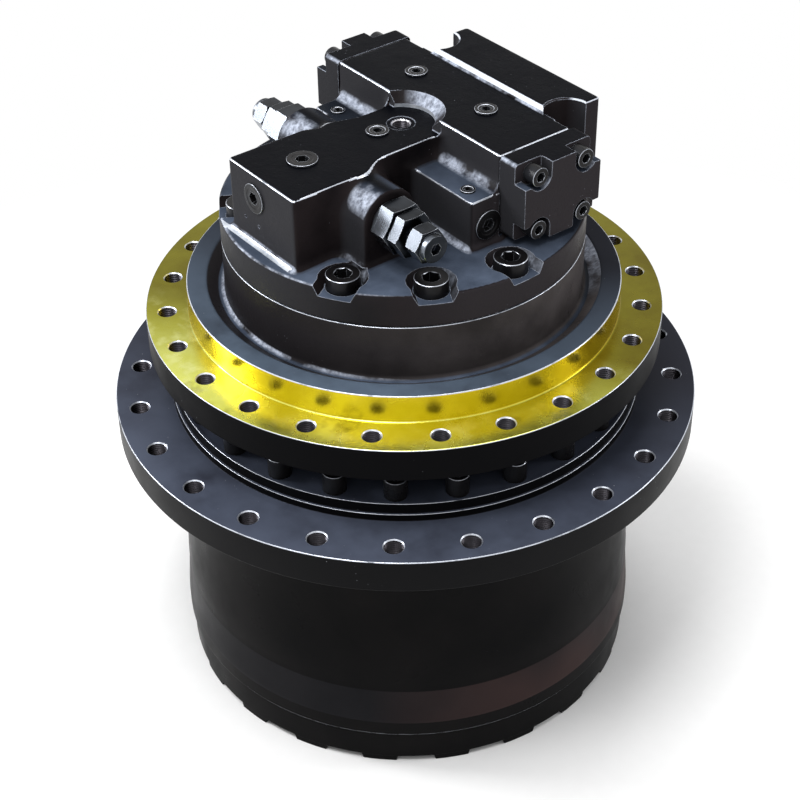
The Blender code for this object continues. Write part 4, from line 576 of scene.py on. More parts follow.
class Finish:
    """A procedural material built up node by node on a Principled shader."""

    def __init__(self, name, metallic=0.0, specular=0.5):
        self.material = bpy.data.materials.new(name)
        self.material.use_nodes = True
        self.tree = self.material.node_tree
        self.shader = self.tree.nodes["Principled BSDF"]
        feed(self.tree, self.shader, {"Metallic": metallic, "Specular IOR Level": specular})
        self.geometry = self.add("NewGeometry", {}).outputs
        self.place = self.add("TexCoord", {}).outputs["Object"]
        self.relief = {}

    def add(self, kind, inputs, **settings):
        """A node of this material."""
        return add_node(self.tree, kind, inputs, **settings)

    def noise(self, scale, detail=3, roughness=0.55, stretch=None):
        """Noise through the piece's own space."""
        place = self.place
        if stretch:
            place = self.add("Mapping", {"Scale": stretch, "Vector": place}).outputs["Vector"]
        inputs = {"Scale": scale, "Detail": detail, "Roughness": roughness, "Vector": place}
        return self.add("TexNoise", inputs).outputs["Fac"]

    def noisy(self, scale, low, high, detail=3, roughness=0.55):
        """Noise spread between 0 and 1."""
        return self.spread(self.noise(scale, detail, roughness), low, high)

    def cells(self, scale):
        """Distance to scattered points."""
        return self.add("TexVoronoi", {"Scale": scale, "Vector": self.place}).outputs["Distance"]

    def rings(self, scale):
        """Fine turned lines round the main axis."""
        inputs = {"Scale": scale, "Distortion": 1.2, "Detail": 2, "Vector": self.place}
        return self.add("TexWave", inputs, wave_type='RINGS', rings_direction='Z').outputs["Fac"]

    def spread(self, value, low, high, to_low=0.0, to_high=1.0):
        """Map a value from one range to another, clamped."""
        inputs = {"Value": value, "From Min": low, "From Max": high, "To Min": to_low, "To Max": to_high}
        return self.add("MapRange", inputs).outputs["Result"]

    def times(self, first, second):
        """The product of two values."""
        return self.add("Math", {0: first, 1: second}, operation='MULTIPLY').outputs["Value"]

    def dot(self, first, second, low, high):
        """The dot product of two vectors, spread between 0 and 1."""
        product = self.add("VectorMath", {0: first, 1: second}, operation='DOT_PRODUCT')
        return self.spread(product.outputs["Value"], low, high)

    def facing(self, direction, low, high):
        """1 where the surface looks along a direction, 0 where it looks elsewhere."""
        return self.dot(self.geometry["Normal"], Vector(direction).normalized(), low, high)

    def along(self, direction, low, high):
        """A slow change from 0 to 1 across the piece along a direction."""
        return self.dot(self.place, Vector(direction).normalized(), low, high)

    def wear_and_highlight(self, colour, radius, patches, bright):
        """Bright sharp edges, broken up by patches: partly rubbed to metal, partly a painted highlight."""
        eased = self.add("Bevel", {"Radius": radius}, samples=4).outputs["Normal"]
        edges = self.dot(eased, self.geometry["Normal"], 0.985, 0.90)
        return self.mix(self.times(edges, patches), colour, bright)

    def mix(self, factor, first, second):
        """Two colours mixed; each is a colour or a socket."""
        first, second = ((*c, 1) if isinstance(c, tuple) else c for c in (first, second))
        return self.add("Mix", {"Factor": factor, 6: first, 7: second}, data_type='RGBA').outputs[2]

    def mottled(self, scale, first, second, low=0.35, high=0.68):
        """Two colours in soft patches."""
        return self.mix(self.noisy(scale, low, high, 4), first, second)

    def speckled(self, base, dust, scale, size):
        """Scattered pale specks of dust and chipped paint over a colour."""
        near = self.spread(self.cells(scale), size, size * 0.6)
        return self.mix(self.times(near, self.noisy(14, 0.52, 0.66, 2)), base, dust)

    def grain(self, scale, strength, distance, roughness=0.55, detail=3):
        """Relief from noise."""
        self.bump(self.noise(scale, detail, roughness), strength, distance)

    def bump(self, height, strength, distance):
        """Add relief on top of what is there."""
        inputs = {"Strength": strength, "Distance": distance, "Height": height, **self.relief}
        self.relief = {"Normal": self.add("Bump", inputs).outputs["Normal"]}

    def done(self, colour, low, high, scale, detail=4):
        """Connect the colour, a roughness that varies between two values, and the relief."""
        rough = self.spread(self.noise(scale, detail), 0.3, 0.7, low, high)
        feed(self.tree, self.shader, {"Base Color": colour, "Roughness": rough, **self.relief})
        return self.material


def drum_black():
    """Semi-gloss black enamel with a faint orange peel and some dust."""
    finish = Finish("drum_black", specular=0.026)
    base = finish.mottled(9, (0.0036, 0.0037, 0.0040), (0.0068, 0.0062, 0.0064))
    colour = finish.speckled(base, (0.16, 0.16, 0.18), 120, 0.028)
    finish.grain(60, 0.05, 0.0010)
    return finish.done(colour, 0.26, 0.42, 22)


def drum_band_reflection():
    """The drum's lower band: a painted reflection, greyer than the black above, with brown-red painted
    reflection patches towards +X.
    """
    finish = Finish("drum_band_reflection", specular=0.04)
    # Painted reflection: the band is paler than the black above.
    grey = finish.mottled(8, (0.0050, 0.0050, 0.0062), (0.0100, 0.0098, 0.0115))
    # Painted reflection: brown-red patches towards +X.
    warm_reflection = finish.times(finish.along((0.95, 0.30, 0), 0.11, 0.24), finish.noisy(5, 0.38, 0.60, 2))
    base = finish.mix(warm_reflection, grey, (0.036, 0.0215, 0.0205))
    finish.grain(60, 0.05, 0.0010)
    return finish.done(base, 0.28, 0.42, 22)


def slate_paint(name, dark, light, specular):
    """Satin blue-black paint over turned steel with pale specks; painted light makes the tops paler towards
    LIGHT_SIDE, and a near-black painted shade covers the faces that do not look up.
    """
    finish = Finish(name, specular=specular)
    # Painted light: the tops turn from the shaded colour to the light colour towards LIGHT_SIDE.
    painted_light = finish.along(LIGHT_SIDE, -0.07, 0.24)
    up = finish.facing(UP, 0.80, 0.97)
    top = finish.mix(painted_light, dark, light)
    cloudy = finish.mix(finish.noisy(9, 0.30, 0.72, 4), top, dark)
    half = finish.mix(finish.noisy(30, 0.2, 0.8), top, cloudy)
    # Painted shade: faces that do not look up turn near black.
    colour = finish.mix(up, (0.0034, 0.0034, 0.0040), half)
    speck = finish.speckled(colour, (0.45, 0.47, 0.52), 140, 0.060)
    finish.bump(finish.rings(240), 0.04, 0.0003)
    finish.grain(300, 0.09, 0.0005)
    return finish.done(speck, 0.32, 0.46, 18)


def cast_black():
    """Painted casting: machined tops near black, a painted sheen on the ledge tops, painted light on walls
    facing front and right and on the brown round side, painted highlights on faces leaning frontwards, a
    painted reflection on the port slab's slope, edges partly rubbed bright and partly painted highlight, and a
    sandy grain.
    """
    finish = Finish("cast_black", specular=0.022)
    walls = finish.mottled(11, (0.0060, 0.0052, 0.0058), (0.0180, 0.0140, 0.0150))
    # Painted light: walls facing +X on the right side are paler.
    right = finish.times(finish.facing((0.98, 0.15, 0), 0.5, 0.9), finish.along((1, 0, 0), 0.09, 0.11))
    walls = finish.mix(right, walls, (0.029, 0.0255, 0.0285))
    # Painted light: faces towards the front are paler.
    front = finish.mix(finish.facing(PAINTED_LIGHT_FRONT, 0.45, 0.95), walls, (0.029, 0.029, 0.033))
    brown = finish.mottled(16, (0.034, 0.030, 0.030), (0.070, 0.062, 0.062))
    # Painted light: the round side below the cover is brown and paler towards +X+Y.
    round_side_painted_light = finish.mix(finish.along((0.61, 0.79, 0), -0.12, 0.15), (0.0150, 0.0135, 0.0150), brown)
    below = finish.along(UP, COVER_SEAT + 0.001, COVER_SEAT - 0.001)
    sides = finish.mix(below, front, round_side_painted_light)
    high = finish.along(UP, RELIEF_TOP - 0.006, RELIEF_TOP - 0.003)
    # Painted sheen: the lower ledge tops get a blue-black sheen, paler towards LIGHT_SIDE.
    slate_sheen = finish.mottled(16, (0.030, 0.039, 0.058), (0.085, 0.108, 0.155))
    ledges_painted_sheen = finish.mix(finish.along(LIGHT_SIDE, -0.06, 0.13), (0.0085, 0.0105, 0.0150), slate_sheen)
    tops = finish.mix(high, ledges_painted_sheen, (0.0014, 0.0016, 0.0027))
    base = finish.mix(finish.facing(UP, 0.84, 0.97), sides, tops)
    # Painted highlight: pale rough marks on faces leaning towards the front.
    highlight_grain = finish.spread(finish.noise(260, 4, 0.65, (1.0, 1.0, 0.35)), 0.30, 0.66)
    bright = finish.mix(highlight_grain, (0.110, 0.122, 0.155), (0.50, 0.55, 0.66))
    painted_highlight = finish.times(finish.facing((0, -0.66, 0.75), 0.84, 0.99), finish.noisy(32, 0.36, 0.52, 4))
    colour = finish.mix(painted_highlight, base, bright)
    # Painted reflection: a pale band on the port slab's front slope.
    slab_slope = finish.along(UP, PORT_SLAB_TOP - 0.0037, PORT_SLAB_TOP - 0.0035)
    slope_painted_reflection = finish.times(finish.facing((0, -0.7, 0.7), 0.86, 0.92), slab_slope)
    colour = finish.mix(slope_painted_reflection, colour, (0.62, 0.66, 0.73))
    # Bright edges, partly rubbed to metal and partly a painted highlight.
    colour = finish.wear_and_highlight(colour, 0.0010, finish.noisy(70, 0.34, 0.50, 4, 0.6), (0.36, 0.39, 0.46))
    colour = finish.speckled(colour, (0.30, 0.31, 0.36), 150, 0.055)
    finish.grain(520, 0.22, 0.0009, 0.6)
    finish.grain(95, 0.16, 0.0022, 0.6, 4)
    return finish.done(colour, 0.24, 0.42, 30, 5)


def zinc_yellow():
    """Yellow chromate on turned steel, brushed round the axis: lemon painted light towards LIGHT_SIDE with
    pale painted highlight stripes there, olive painted shade on the far side, darker stains, and deeper gold
    on the upright walls.
    """
    finish = Finish("zinc_yellow", metallic=1.0)
    # Painted light and shade: lemon towards LIGHT_SIDE, olive on the far side.
    painted_light = finish.along(LIGHT_SIDE, 0.06, 0.215)
    cloud = finish.noisy(7, 0.34, 0.66, 5, 0.6)
    shade_side = finish.mix(cloud, (0.130, 0.105, 0.0050), (0.225, 0.205, 0.0130))
    lit_side = finish.mix(cloud, (0.66, 0.66, 0.075), (0.82, 0.86, 0.26))
    top = finish.mix(painted_light, shade_side, lit_side)
    # Painted highlight: pale stripes on the side towards LIGHT_SIDE.
    painted_highlight_streaks = finish.spread(finish.noise(34, 3, 0.6, (1.0, 1.0, 0.2)), 0.52, 0.74)
    top = finish.mix(finish.times(painted_highlight_streaks, painted_light), top, (0.80, 0.82, 0.36))
    stain = finish.noisy(15, 0.60, 0.74, 4, 0.6)
    top = finish.mix(stain, top, (0.21, 0.185, 0.012))
    wall = finish.mix(cloud, (0.60, 0.44, 0.018), (0.74, 0.58, 0.050))
    colour = finish.mix(finish.facing(UP, 0.3, 0.9), wall, top)
    finish.bump(finish.rings(300), 0.05, 0.0003)
    finish.grain(160, 0.06, 0.0006)
    return finish.done(colour, 0.18, 0.32, 26)


def bare_steel(name, colour, low, high):
    """Machined metal with fine marks."""
    finish = Finish(name, metallic=1.0)
    tone = finish.mottled(35, tuple(c * 0.62 for c in colour), colour)
    finish.grain(260, 0.08, 0.0005, 0.6)
    return finish.done(tone, low, high, 70)


def thread_steel():
    """Tapped bores: the dark bore is painted shade, and the bright thread crests are a painted highlight."""
    finish = Finish("thread_steel", metallic=1.0)
    dark = finish.mottled(60, (0.024, 0.023, 0.027), (0.048, 0.045, 0.051))
    # Painted highlight on the thread crests, found by pointiness.
    colour = finish.mix(finish.spread(finish.geometry["Pointiness"], 0.503, 0.532), dark, (0.58, 0.57, 0.60))
    finish.grain(260, 0.06, 0.0004, 0.6)
    return finish.done(colour, 0.26, 0.42, 70)


def valve_steel():
    """Polished steel with painted reflections: dark facets, and bright facets on the sides that face the
    light.
    """
    finish = Finish("bright_steel", metallic=1.0)
    # Painted reflection: facets towards the front-left are bright.
    painted_light = finish.facing((-0.25, -0.93, 0.10), 0.10, 0.72)
    dark = finish.mottled(40, (0.010, 0.012, 0.015), (0.028, 0.032, 0.039))
    colour = finish.mix(painted_light, dark, (0.20, 0.22, 0.255))
    colour = finish.wear_and_highlight(colour, 0.0008, finish.noisy(60, 0.3, 0.5), (0.42, 0.44, 0.48))
    finish.grain(240, 0.05, 0.0004, 0.6)
    return finish.done(colour, 0.20, 0.34, 50)


def worn_edge_and_highlight():
    """An edge where black paint is rubbed down to bright metal, its brightness partly a painted highlight."""
    finish = Finish("worn_edge_and_highlight", metallic=0.7)
    wear_and_highlight = finish.noisy(40, 0.30, 0.44, 4, 0.65)
    colour = finish.mix(wear_and_highlight, (0.10, 0.11, 0.13), (0.56, 0.59, 0.66))
    finish.grain(300, 0.08, 0.0004, detail=2)
    return finish.done(colour, 0.24, 0.40, 60, 3)


def milled_strip_highlight():
    """A bare machined face, its pale steel tone a painted highlight, with a few dark marks."""
    finish = Finish("milled_strip_highlight", metallic=0.5)
    colour = finish.mottled(60, (0.34, 0.38, 0.44), (0.66, 0.70, 0.77), 0.30, 0.60)
    finish.grain(260, 0.10, 0.0005)
    return finish.done(colour, 0.30, 0.45, 60, 3)


def black_oxide():
    """Blackened screws, slightly oily, with painted light on the sides that face the front and edges partly
    rubbed bright, partly painted highlight.
    """
    finish = Finish("black_oxide", metallic=0.3, specular=0.2)
    # Painted light: sides facing the front are paler.
    painted_light = finish.facing(PAINTED_LIGHT_FRONT, 0.20, 0.95)
    tone = finish.mix(painted_light, (0.0045, 0.0042, 0.0046), (0.026, 0.028, 0.033))
    tone = finish.mix(finish.noisy(45, 0.35, 0.68, 4), tone, (0.009, 0.0085, 0.0092))
    tone = finish.wear_and_highlight(tone, 0.0007, finish.noisy(90, 0.36, 0.52), (0.34, 0.36, 0.40))
    finish.grain(340, 0.14, 0.0006, 0.6)
    return finish.done(tone, 0.24, 0.42, 60)


def matt(name, low_colour, high_colour, scale, low, high):
    """A plain matt stuff with grain, for linings and seals."""
    finish = Finish(name, specular=0.3)
    tone = finish.mottled(scale, low_colour, high_colour)
    finish.grain(scale * 6, 0.25, 0.0008, 0.6)
    return finish.done(tone, low, high, scale, 3)


# Painted light grows towards this side.
LIGHT_SIDE = (0.57, -0.82, 0)
BLACK = drum_black()
BAND = drum_band_reflection()
# Flange and pilot paints: a painted shade colour, then a painted light colour, then the specular level.
FLANGE_BLACK = slate_paint("flange_black", (0.0150, 0.0160, 0.0235), (0.066, 0.078, 0.112), 0.055)
PILOT_BLACK = slate_paint("pilot_black", (0.0130, 0.0140, 0.0190), (0.092, 0.124, 0.170), 0.020)
CAST = cast_black()
YELLOW = zinc_yellow()
EDGE = worn_edge_and_highlight()
STRIP = milled_strip_highlight()
THREAD = thread_steel()
OXIDE = black_oxide()
VALVE_STEEL = valve_steel()
SLOT_FINISHES = {
    "black_paint": BLACK, "cast_black": CAST, "dark_steel": OXIDE, "bright_steel": VALVE_STEEL,
    "gear_steel": bare_steel("gear_steel", (0.42, 0.41, 0.40), 0.26, 0.42),
    "bearing_steel": bare_steel("bearing_steel", (0.60, 0.61, 0.62), 0.12, 0.24),
    "bronze": bare_steel("bronze", (0.60, 0.38, 0.17), 0.24, 0.40),
    "brake_lining": matt("brake_lining", (0.10, 0.07, 0.05), (0.20, 0.15, 0.10), 90, 0.75, 0.92),
    "seal_rubber": matt("seal_rubber", (0.010, 0.010, 0.010), (0.022, 0.022, 0.022), 60, 0.5, 0.7)}


def dress(item, body, slot, *nodes, angle=SHARP_ANGLE):
    """Shade a finished piece, let it ride on its body and stand for its nodes."""
    item.data.shade_smooth()
    item.data.set_sharp_from_angle(angle=angle)
    normals = item.modifiers.new("normals", 'WEIGHTED_NORMAL')
    normals.keep_sharp = True
    normals.weight = 50
    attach(item, body)
    if nodes:
        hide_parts(*nodes)
    return item


def finish_frame_nodes():
    """Give every carried-over node the finish of its material slot."""
    slots = {part["node"]: part["material_slot"] for part in frame["record"]["subparts"]}
    for name, node in frame["nodes"].items():
        paint(node, SLOT_FINISHES[slots[name]])


# Drum and end cover

def end_cover():
    """The lid under the drum, with curved castellated lugs and a thrust pad inside."""
    inner = COVER_RADIUS - COVER_WALL
    outline = [(inner, COVER_TOP, 0), (COVER_RADIUS, COVER_TOP, COVER_EDGE),
               (COVER_RADIUS, LUG_HEIGHT, 0.001), (0, LUG_HEIGHT, 0), (0, THRUST_PAD_TOP, 0),
               (THRUST_PAD_RADIUS, THRUST_PAD_TOP, 0.001),
               (THRUST_PAD_RADIUS, COVER_FLOOR, 0.002), (inner, COVER_FLOOR, 0.006)]
    item = lathe("end_cover_body", rounded(outline))
    builder = bmesh.new()
    for place in around(LUG_COUNT, 0, LUG_PHASE):
        add_lug(builder, place)
    boolean(item, bevelled(solid("lugs", builder), LUG_EDGE), 'UNION')
    levels = [at(*polar(LEVEL_PLUG_CIRCLE, angle), 0) for angle in LEVEL_PLUG_ANGLES]
    boolean(item, cylinder_cutter("holes", levels, LEVEL_PLUG_RADIUS, LUG_HEIGHT - OVERRUN, COVER_FLOOR))
    paint(item, BLACK, EDGE)
    # Bright top edge, partly wear and partly painted highlight.
    paint_where(item, 1, lambda c, n: axial(c) > COVER_RADIUS - COVER_EDGE and c.z > COVER_TOP - COVER_EDGE
                and 0.3 < n.z < 0.95)
    return dress(item, "hub", "black_paint", "end_cover")


def add_lug(builder, place):
    """One lug: it follows the cover's curve and narrows to its foot."""
    rings = []
    outside, inside, high = COVER_RADIUS - LUG_INSET, COVER_RADIUS - LUG_DEPTH, LUG_HEIGHT + OVERRUN
    for radius, height in ((outside, high), (outside, 0), (inside, 0), (inside, high)):
        half = LUG_WIDTH / 2 + (LUG_SLOPE if height > 0 else 0)
        angles = [half / COVER_RADIUS * (2 * step / LUG_STEPS - 1) for step in range(LUG_STEPS + 1)]
        rings.append(add_ring(builder, [polar(radius, angle) for angle in angles], height, place))
    for a, b in zip(rings, rings[1:] + rings[:1]):
        for j in range(LUG_STEPS):
            builder.faces.new([a[j], a[j + 1], b[j + 1], b[j]])
    builder.faces.new([row[0] for row in rings])
    builder.faces.new([row[-1] for row in reversed(rings)])


def hex_body(name, flats, bottom, top, chamfer):
    """A hexagon bar end with turned chamfers on its corners."""
    reach = flats / math.sqrt(3)
    item = prism(name, circle(reach, 6), bottom, top)
    flat, wide = reach - (reach - flats / 2 + 0.0004), reach + 0.001
    cone = [(0, top), (flat, top), (wide, top - chamfer),
            (wide, bottom + chamfer), (flat, bottom), (0, bottom)]
    return boolean(item, lathe(name + "_cone", cone, 64), 'INTERSECT')


def repeated(name, master, places, washer=()):
    """A master, with its washer if it has one, set at every place as one piece."""
    builder = bmesh.new()
    for place in places:
        shape = master.data.copy()
        shape.transform(place)
        builder.from_mesh(shape)
        if washer:
            add_lathe(builder, washer, HEAD_ROUND, place)
    remove(master)
    return solid(name, builder)


def cover_bolts():
    """Hexagon screws that hold the end cover, on its underside."""
    seat = LUG_HEIGHT
    inner, outer = WASHER_RADII
    washer = rounded([(inner, seat + WASHER_TOP, 0), (outer, seat + WASHER_TOP, WASHER_EDGE),
                      (outer, seat + WASHER_BOTTOM, WASHER_EDGE), (inner, seat + WASHER_BOTTOM, 0)])
    master = hex_body("cover_bolt", COVER_BOLT_FLATS, seat - COVER_BOLT_HEIGHT, seat, 0.0010)
    item = repeated("end_cover_bolts", master, around(COVER_BOLT_COUNT, COVER_BOLT_CIRCLE, LUG_PHASE), washer)
    return dress(paint(item, OXIDE), "hub", "dark_steel")


def ring_gear_drum():
    """The drum's outer form with its soft shoulder."""
    flare = DRUM_TOP - DRUM_TOP_FLARE_HEIGHT
    outline = [(DRUM_BORE_RADIUS, DRUM_TOP, 0), (DRUM_TOP_FLARE, DRUM_TOP, 0.001),
               (DRUM_NECK_RADIUS, flare, 0.012)]
    for step in range(SHOULDER_STEPS + 1):
        share = step / SHOULDER_STEPS
        blend = (1 - math.cos(math.pi * share)) / 2
        outline.append((DRUM_NECK_RADIUS + (CREASE_RADIUS - DRUM_NECK_RADIUS) * blend,
                        DRUM_NECK_START + (CREASE_HEIGHT - DRUM_NECK_START) * share, 0))
    outline += [(DRUM_RADIUS, BAND_BOTTOM, 0.003), (DRUM_RADIUS, DRUM_BOTTOM, DRUM_EDGE),
                (DRUM_BORE_RADIUS, DRUM_BOTTOM, 0)]
    item = lathe("drum_body", rounded(outline))
    paint(item, BLACK, EDGE, BAND)
    # Bright bottom edge, partly wear and partly painted highlight.
    paint_where(item, 1, lambda c, n: c.z < DRUM_BOTTOM + DRUM_EDGE and axial(c) > DRUM_RADIUS - DRUM_EDGE
                and 0.3 < -n.z < 0.93)
    # The lower band gets the painted reflection.
    paint_where(item, 2, lambda c, n: BAND_BOTTOM - 0.002 < c.z < CREASE_HEIGHT
                and axial(c) > DRUM_NECK_RADIUS)
    return dress(item, "hub", "black_paint", "ring_gear_drum")


# Hub

def tapped_holes(item, places, thread, bottom, top):
    """Cut through tapped holes with bright threads and chamfers."""
    builder = bmesh.new()
    for place in places:
        add_thread(builder, place, *thread, THREAD_PITCH, bottom, top, HOLE_CHAMFER)
    cutter = paint(solid("threads", builder), THREAD, EDGE)
    # Bright hole chamfers, partly wear and partly painted highlight.
    paint_where(cutter, 1, lambda c, n: min(abs(c.z - top), abs(c.z - bottom)) < HOLE_CHAMFER
                and 0.5 < abs(n.z) < 0.9)
    return boolean(item, cutter)


def hub():
    """Sprocket flange, step and collar of the turning hub."""
    outline = [(SEAL_SEAT_RADIUS, COLLAR_SEAT, 0.001), (COLLAR_RADIUS - COLLAR_RIM, COLLAR_SEAT, 0.0004),
               (COLLAR_RADIUS - COLLAR_RIM, COLLAR_TOP, 0.0004), (COLLAR_RADIUS, COLLAR_TOP, 0.0008),
               (COLLAR_RADIUS, STEP_TOP, 0.0008), (STEP_RADIUS, STEP_TOP, 0.0008),
               (STEP_RADIUS, FLANGE_TOP, 0.0010),
               (FLANGE_RADIUS, FLANGE_TOP, FLANGE_EDGE), (FLANGE_RADIUS, FLANGE_BOTTOM, FLANGE_EDGE),
               (SPIGOT_RADIUS, FLANGE_BOTTOM, 0), (SPIGOT_RADIUS, SPIGOT_SEAT, 0),
               (SKIRT_RADIUS, SPIGOT_SEAT, 0), (SKIRT_RADIUS, SKIRT_BOTTOM, 0.001),
               (BEARING_SEAT_RADIUS, SKIRT_BOTTOM, 0.001), (BEARING_SEAT_RADIUS, LOWER_SEAT_TOP, 0),
               (BEARING_RIB_RADIUS, LOWER_SEAT_TOP, 0), (BEARING_RIB_RADIUS, UPPER_SEAT_BOTTOM, 0),
               (BEARING_SEAT_RADIUS, UPPER_SEAT_BOTTOM, 0), (BEARING_SEAT_RADIUS, HUB_LIP_BOTTOM, 0),
               (HUB_LIP_RADIUS, HUB_LIP_BOTTOM, 0), (HUB_LIP_RADIUS, SEAL_SEAT_FLOOR, 0),
               (SEAL_SEAT_RADIUS, SEAL_SEAT_FLOOR, 0)]
    item = lathe("hub_body", rounded(outline))
    paint(item, FLANGE_BLACK, EDGE)
    edge_radii = ((FLANGE_RADIUS, FLANGE_TOP), (COLLAR_RADIUS, COLLAR_TOP), (STEP_RADIUS, STEP_TOP))

    def on_edge(c, n):
        near = any(abs(axial(c) - r) < EDGE_REACH and abs(c.z - z) < EDGE_REACH for r, z in edge_radii)
        return near and 0.2 < n.z < 0.95
    # Bright rims, partly wear and partly painted highlight.
    paint_where(item, 1, on_edge)
    places = around(FLANGE_HOLE_COUNT, FLANGE_HOLE_CIRCLE, FLANGE_HOLE_PHASE)
    tapped_holes(item, places, HUB_THREAD, FLANGE_BOTTOM, FLANGE_TOP)
    return dress(item, "hub", "black_paint", "hub")


def socket_cut(item, radius, bottom, top):
    """Sink a hexagon socket."""
    return boolean(item, prism("socket", circle(radius, 6), bottom, top + OVERRUN))


def socket_head(name, radius, bottom, top, socket, depth, edge=0.0010, shank=0, shank_end=0):
    """A cap screw's head with a chamfered hexagon socket, and its shank if one shows."""
    outline = [(0, top, 0), (radius, top, edge), (radius, bottom, edge / 2)]
    if shank:
        outline += [(shank, bottom, 0), (shank, shank_end, 0.001), (0, shank_end, 0)]
    else:
        outline += [(0, bottom, 0)]
    item = lathe(name, rounded(outline, 3), HEAD_ROUND)
    floor_height = top - depth
    socket_cut(item, socket, floor_height, top)
    rim, over, inside = socket * SOCKET_RIM, top + OVERRUN, top - SOCKET_CHAMFER
    boolean(item, lathe("socket_rim", [(0, over), (rim + OVERRUN, over), (rim - SOCKET_CHAMFER, inside),
                                       (0, inside)], HEAD_ROUND))
    tip = floor_height + 0.0005
    boolean(item, lathe("socket_tip", [(0, tip), (socket * SOCKET_TIP, tip), (0, floor_height - socket * 0.3)],
                        HEAD_ROUND))
    paint(item, OXIDE, EDGE)
    # Bright head edge, partly wear and partly painted highlight.
    paint_where(item, 1, lambda c, n: c.z > top - edge and 0.25 < n.z < 0.97)
    return item


def hub_bolts():
    """The ring of cap screws on the collar, under the frame flange."""
    master = socket_head("hub_bolt", HUB_BOLT_RADIUS, COLLAR_SEAT, HUB_BOLT_TOP, HUB_BOLT_SOCKET,
                         HUB_BOLT_SOCKET_DEPTH, 0.0012)
    places = around(FLANGE_HOLE_COUNT, HUB_BOLT_CIRCLE, FLANGE_HOLE_PHASE)
    item = repeated("hub_bolt_heads", master, places)
    return dress(paint(item, OXIDE, EDGE), "hub", "dark_steel")


# Spindle housing

def spindle_housing():
    """The fixed housing: black casting with a yellow machined frame flange and pilot wall."""
    outline = [(CASE_RADIUS, CASE_TOP, CASE_EDGE), (CASE_RADIUS, GROOVE_FLOOR + 0.002, 0.003),
               (GROOVE_RADIUS, GROOVE_FLOOR, 0.002), (PILOT_INNER_RADIUS, PILOT_TOP, 0.002),
               (PILOT_RADIUS, PILOT_TOP, PILOT_EDGE), (PILOT_RADIUS, FRAME_FLANGE_TOP, 0.0022),
               (FRAME_FLANGE_RADIUS, FRAME_FLANGE_TOP, FRAME_FLANGE_EDGE),
               (FRAME_FLANGE_RADIUS, FRAME_FLANGE_BOTTOM, FRAME_FLANGE_EDGE),
               (SEAL_BOSS_RADIUS, FRAME_FLANGE_BOTTOM, 0.003), (SEAL_BOSS_RADIUS, SEAL_BOSS_BOTTOM, 0.001),
               (SEAL_SEAT_RADIUS, SEAL_BOSS_BOTTOM, 0.0005), (SEAL_SEAT_RADIUS, SEAL_POCKET_TOP, 0),
               (SPINDLE_WAIST_RADIUS, SEAL_POCKET_TOP, 0), (SPINDLE_WAIST_RADIUS, SPINDLE_SHOULDER, 0.001),
               (NECK_RADIUS, SPINDLE_SHOULDER, 0), (NECK_RADIUS, LOWER_BEARING_BOTTOM, 0.001),
               (NUT_THREAD_RADIUS, LOWER_BEARING_BOTTOM, 0), (NUT_THREAD_RADIUS, SPINDLE_BOTTOM, 0.001),
               (SHAFT_BORE_RADIUS, SPINDLE_BOTTOM, 0)]
    inner = SHAFT_BORE_RADIUS
    for radius, ledge in reversed(CHAMBERS):
        outline += [(inner, ledge, 0), (radius, ledge, 0)]
        inner = radius
    outline.append((inner, CASE_TOP, 0))
    item = lathe("housing_body", rounded(outline))
    paint(item, CAST, YELLOW, PILOT_BLACK, EDGE)

    def yellow(c, n):
        between = FRAME_FLANGE_TOP - PAINT_SEAM < c.z < PILOT_TOP - PILOT_EDGE * 0.5
        return axial(c) > PILOT_RADIUS - 0.0003 and between

    def satin(c, n):
        radius = axial(c)
        side = radius > FRAME_FLANGE_RADIUS - 0.0015 and c.z < FRAME_FLANGE_TOP - PAINT_SEAM
        top = PILOT_INNER_RADIUS - 0.001 < radius < PILOT_RADIUS and c.z > PILOT_TOP - 0.003 and n.z > 0.8
        return (side or top) and c.z > FRAME_FLANGE_BOTTOM - 0.001

    def bright(c, n):
        radius = axial(c)
        rim = abs(radius - FRAME_FLANGE_RADIUS) < 0.0008 and abs(c.z - FRAME_FLANGE_TOP) < 0.0008
        pilot = abs(radius - PILOT_RADIUS) < 0.0013 and abs(c.z - PILOT_TOP) < 0.0011
        seam = radius > CASE_RADIUS - 0.0012 and c.z > CASE_TOP - PAINT_SEAM
        return (rim or pilot or seam) and 0.15 < n.z < 0.95
    # Satin paint with painted light and shade on the flange's side and the pilot's top.
    paint_where(item, 2, satin)
    paint_where(item, 1, yellow)
    # Bright rims and seam, partly wear and partly painted highlight.
    paint_where(item, 3, bright)
    places = around(FRAME_HOLE_COUNT, FRAME_HOLE_CIRCLE)
    tapped_holes(item, places, FRAME_THREAD, FRAME_FLANGE_BOTTOM, FRAME_FLANGE_TOP)
    return dress(item, "spindle", "cast_black", "spindle_housing")


# Rear cover casting, modelled as a field of distances

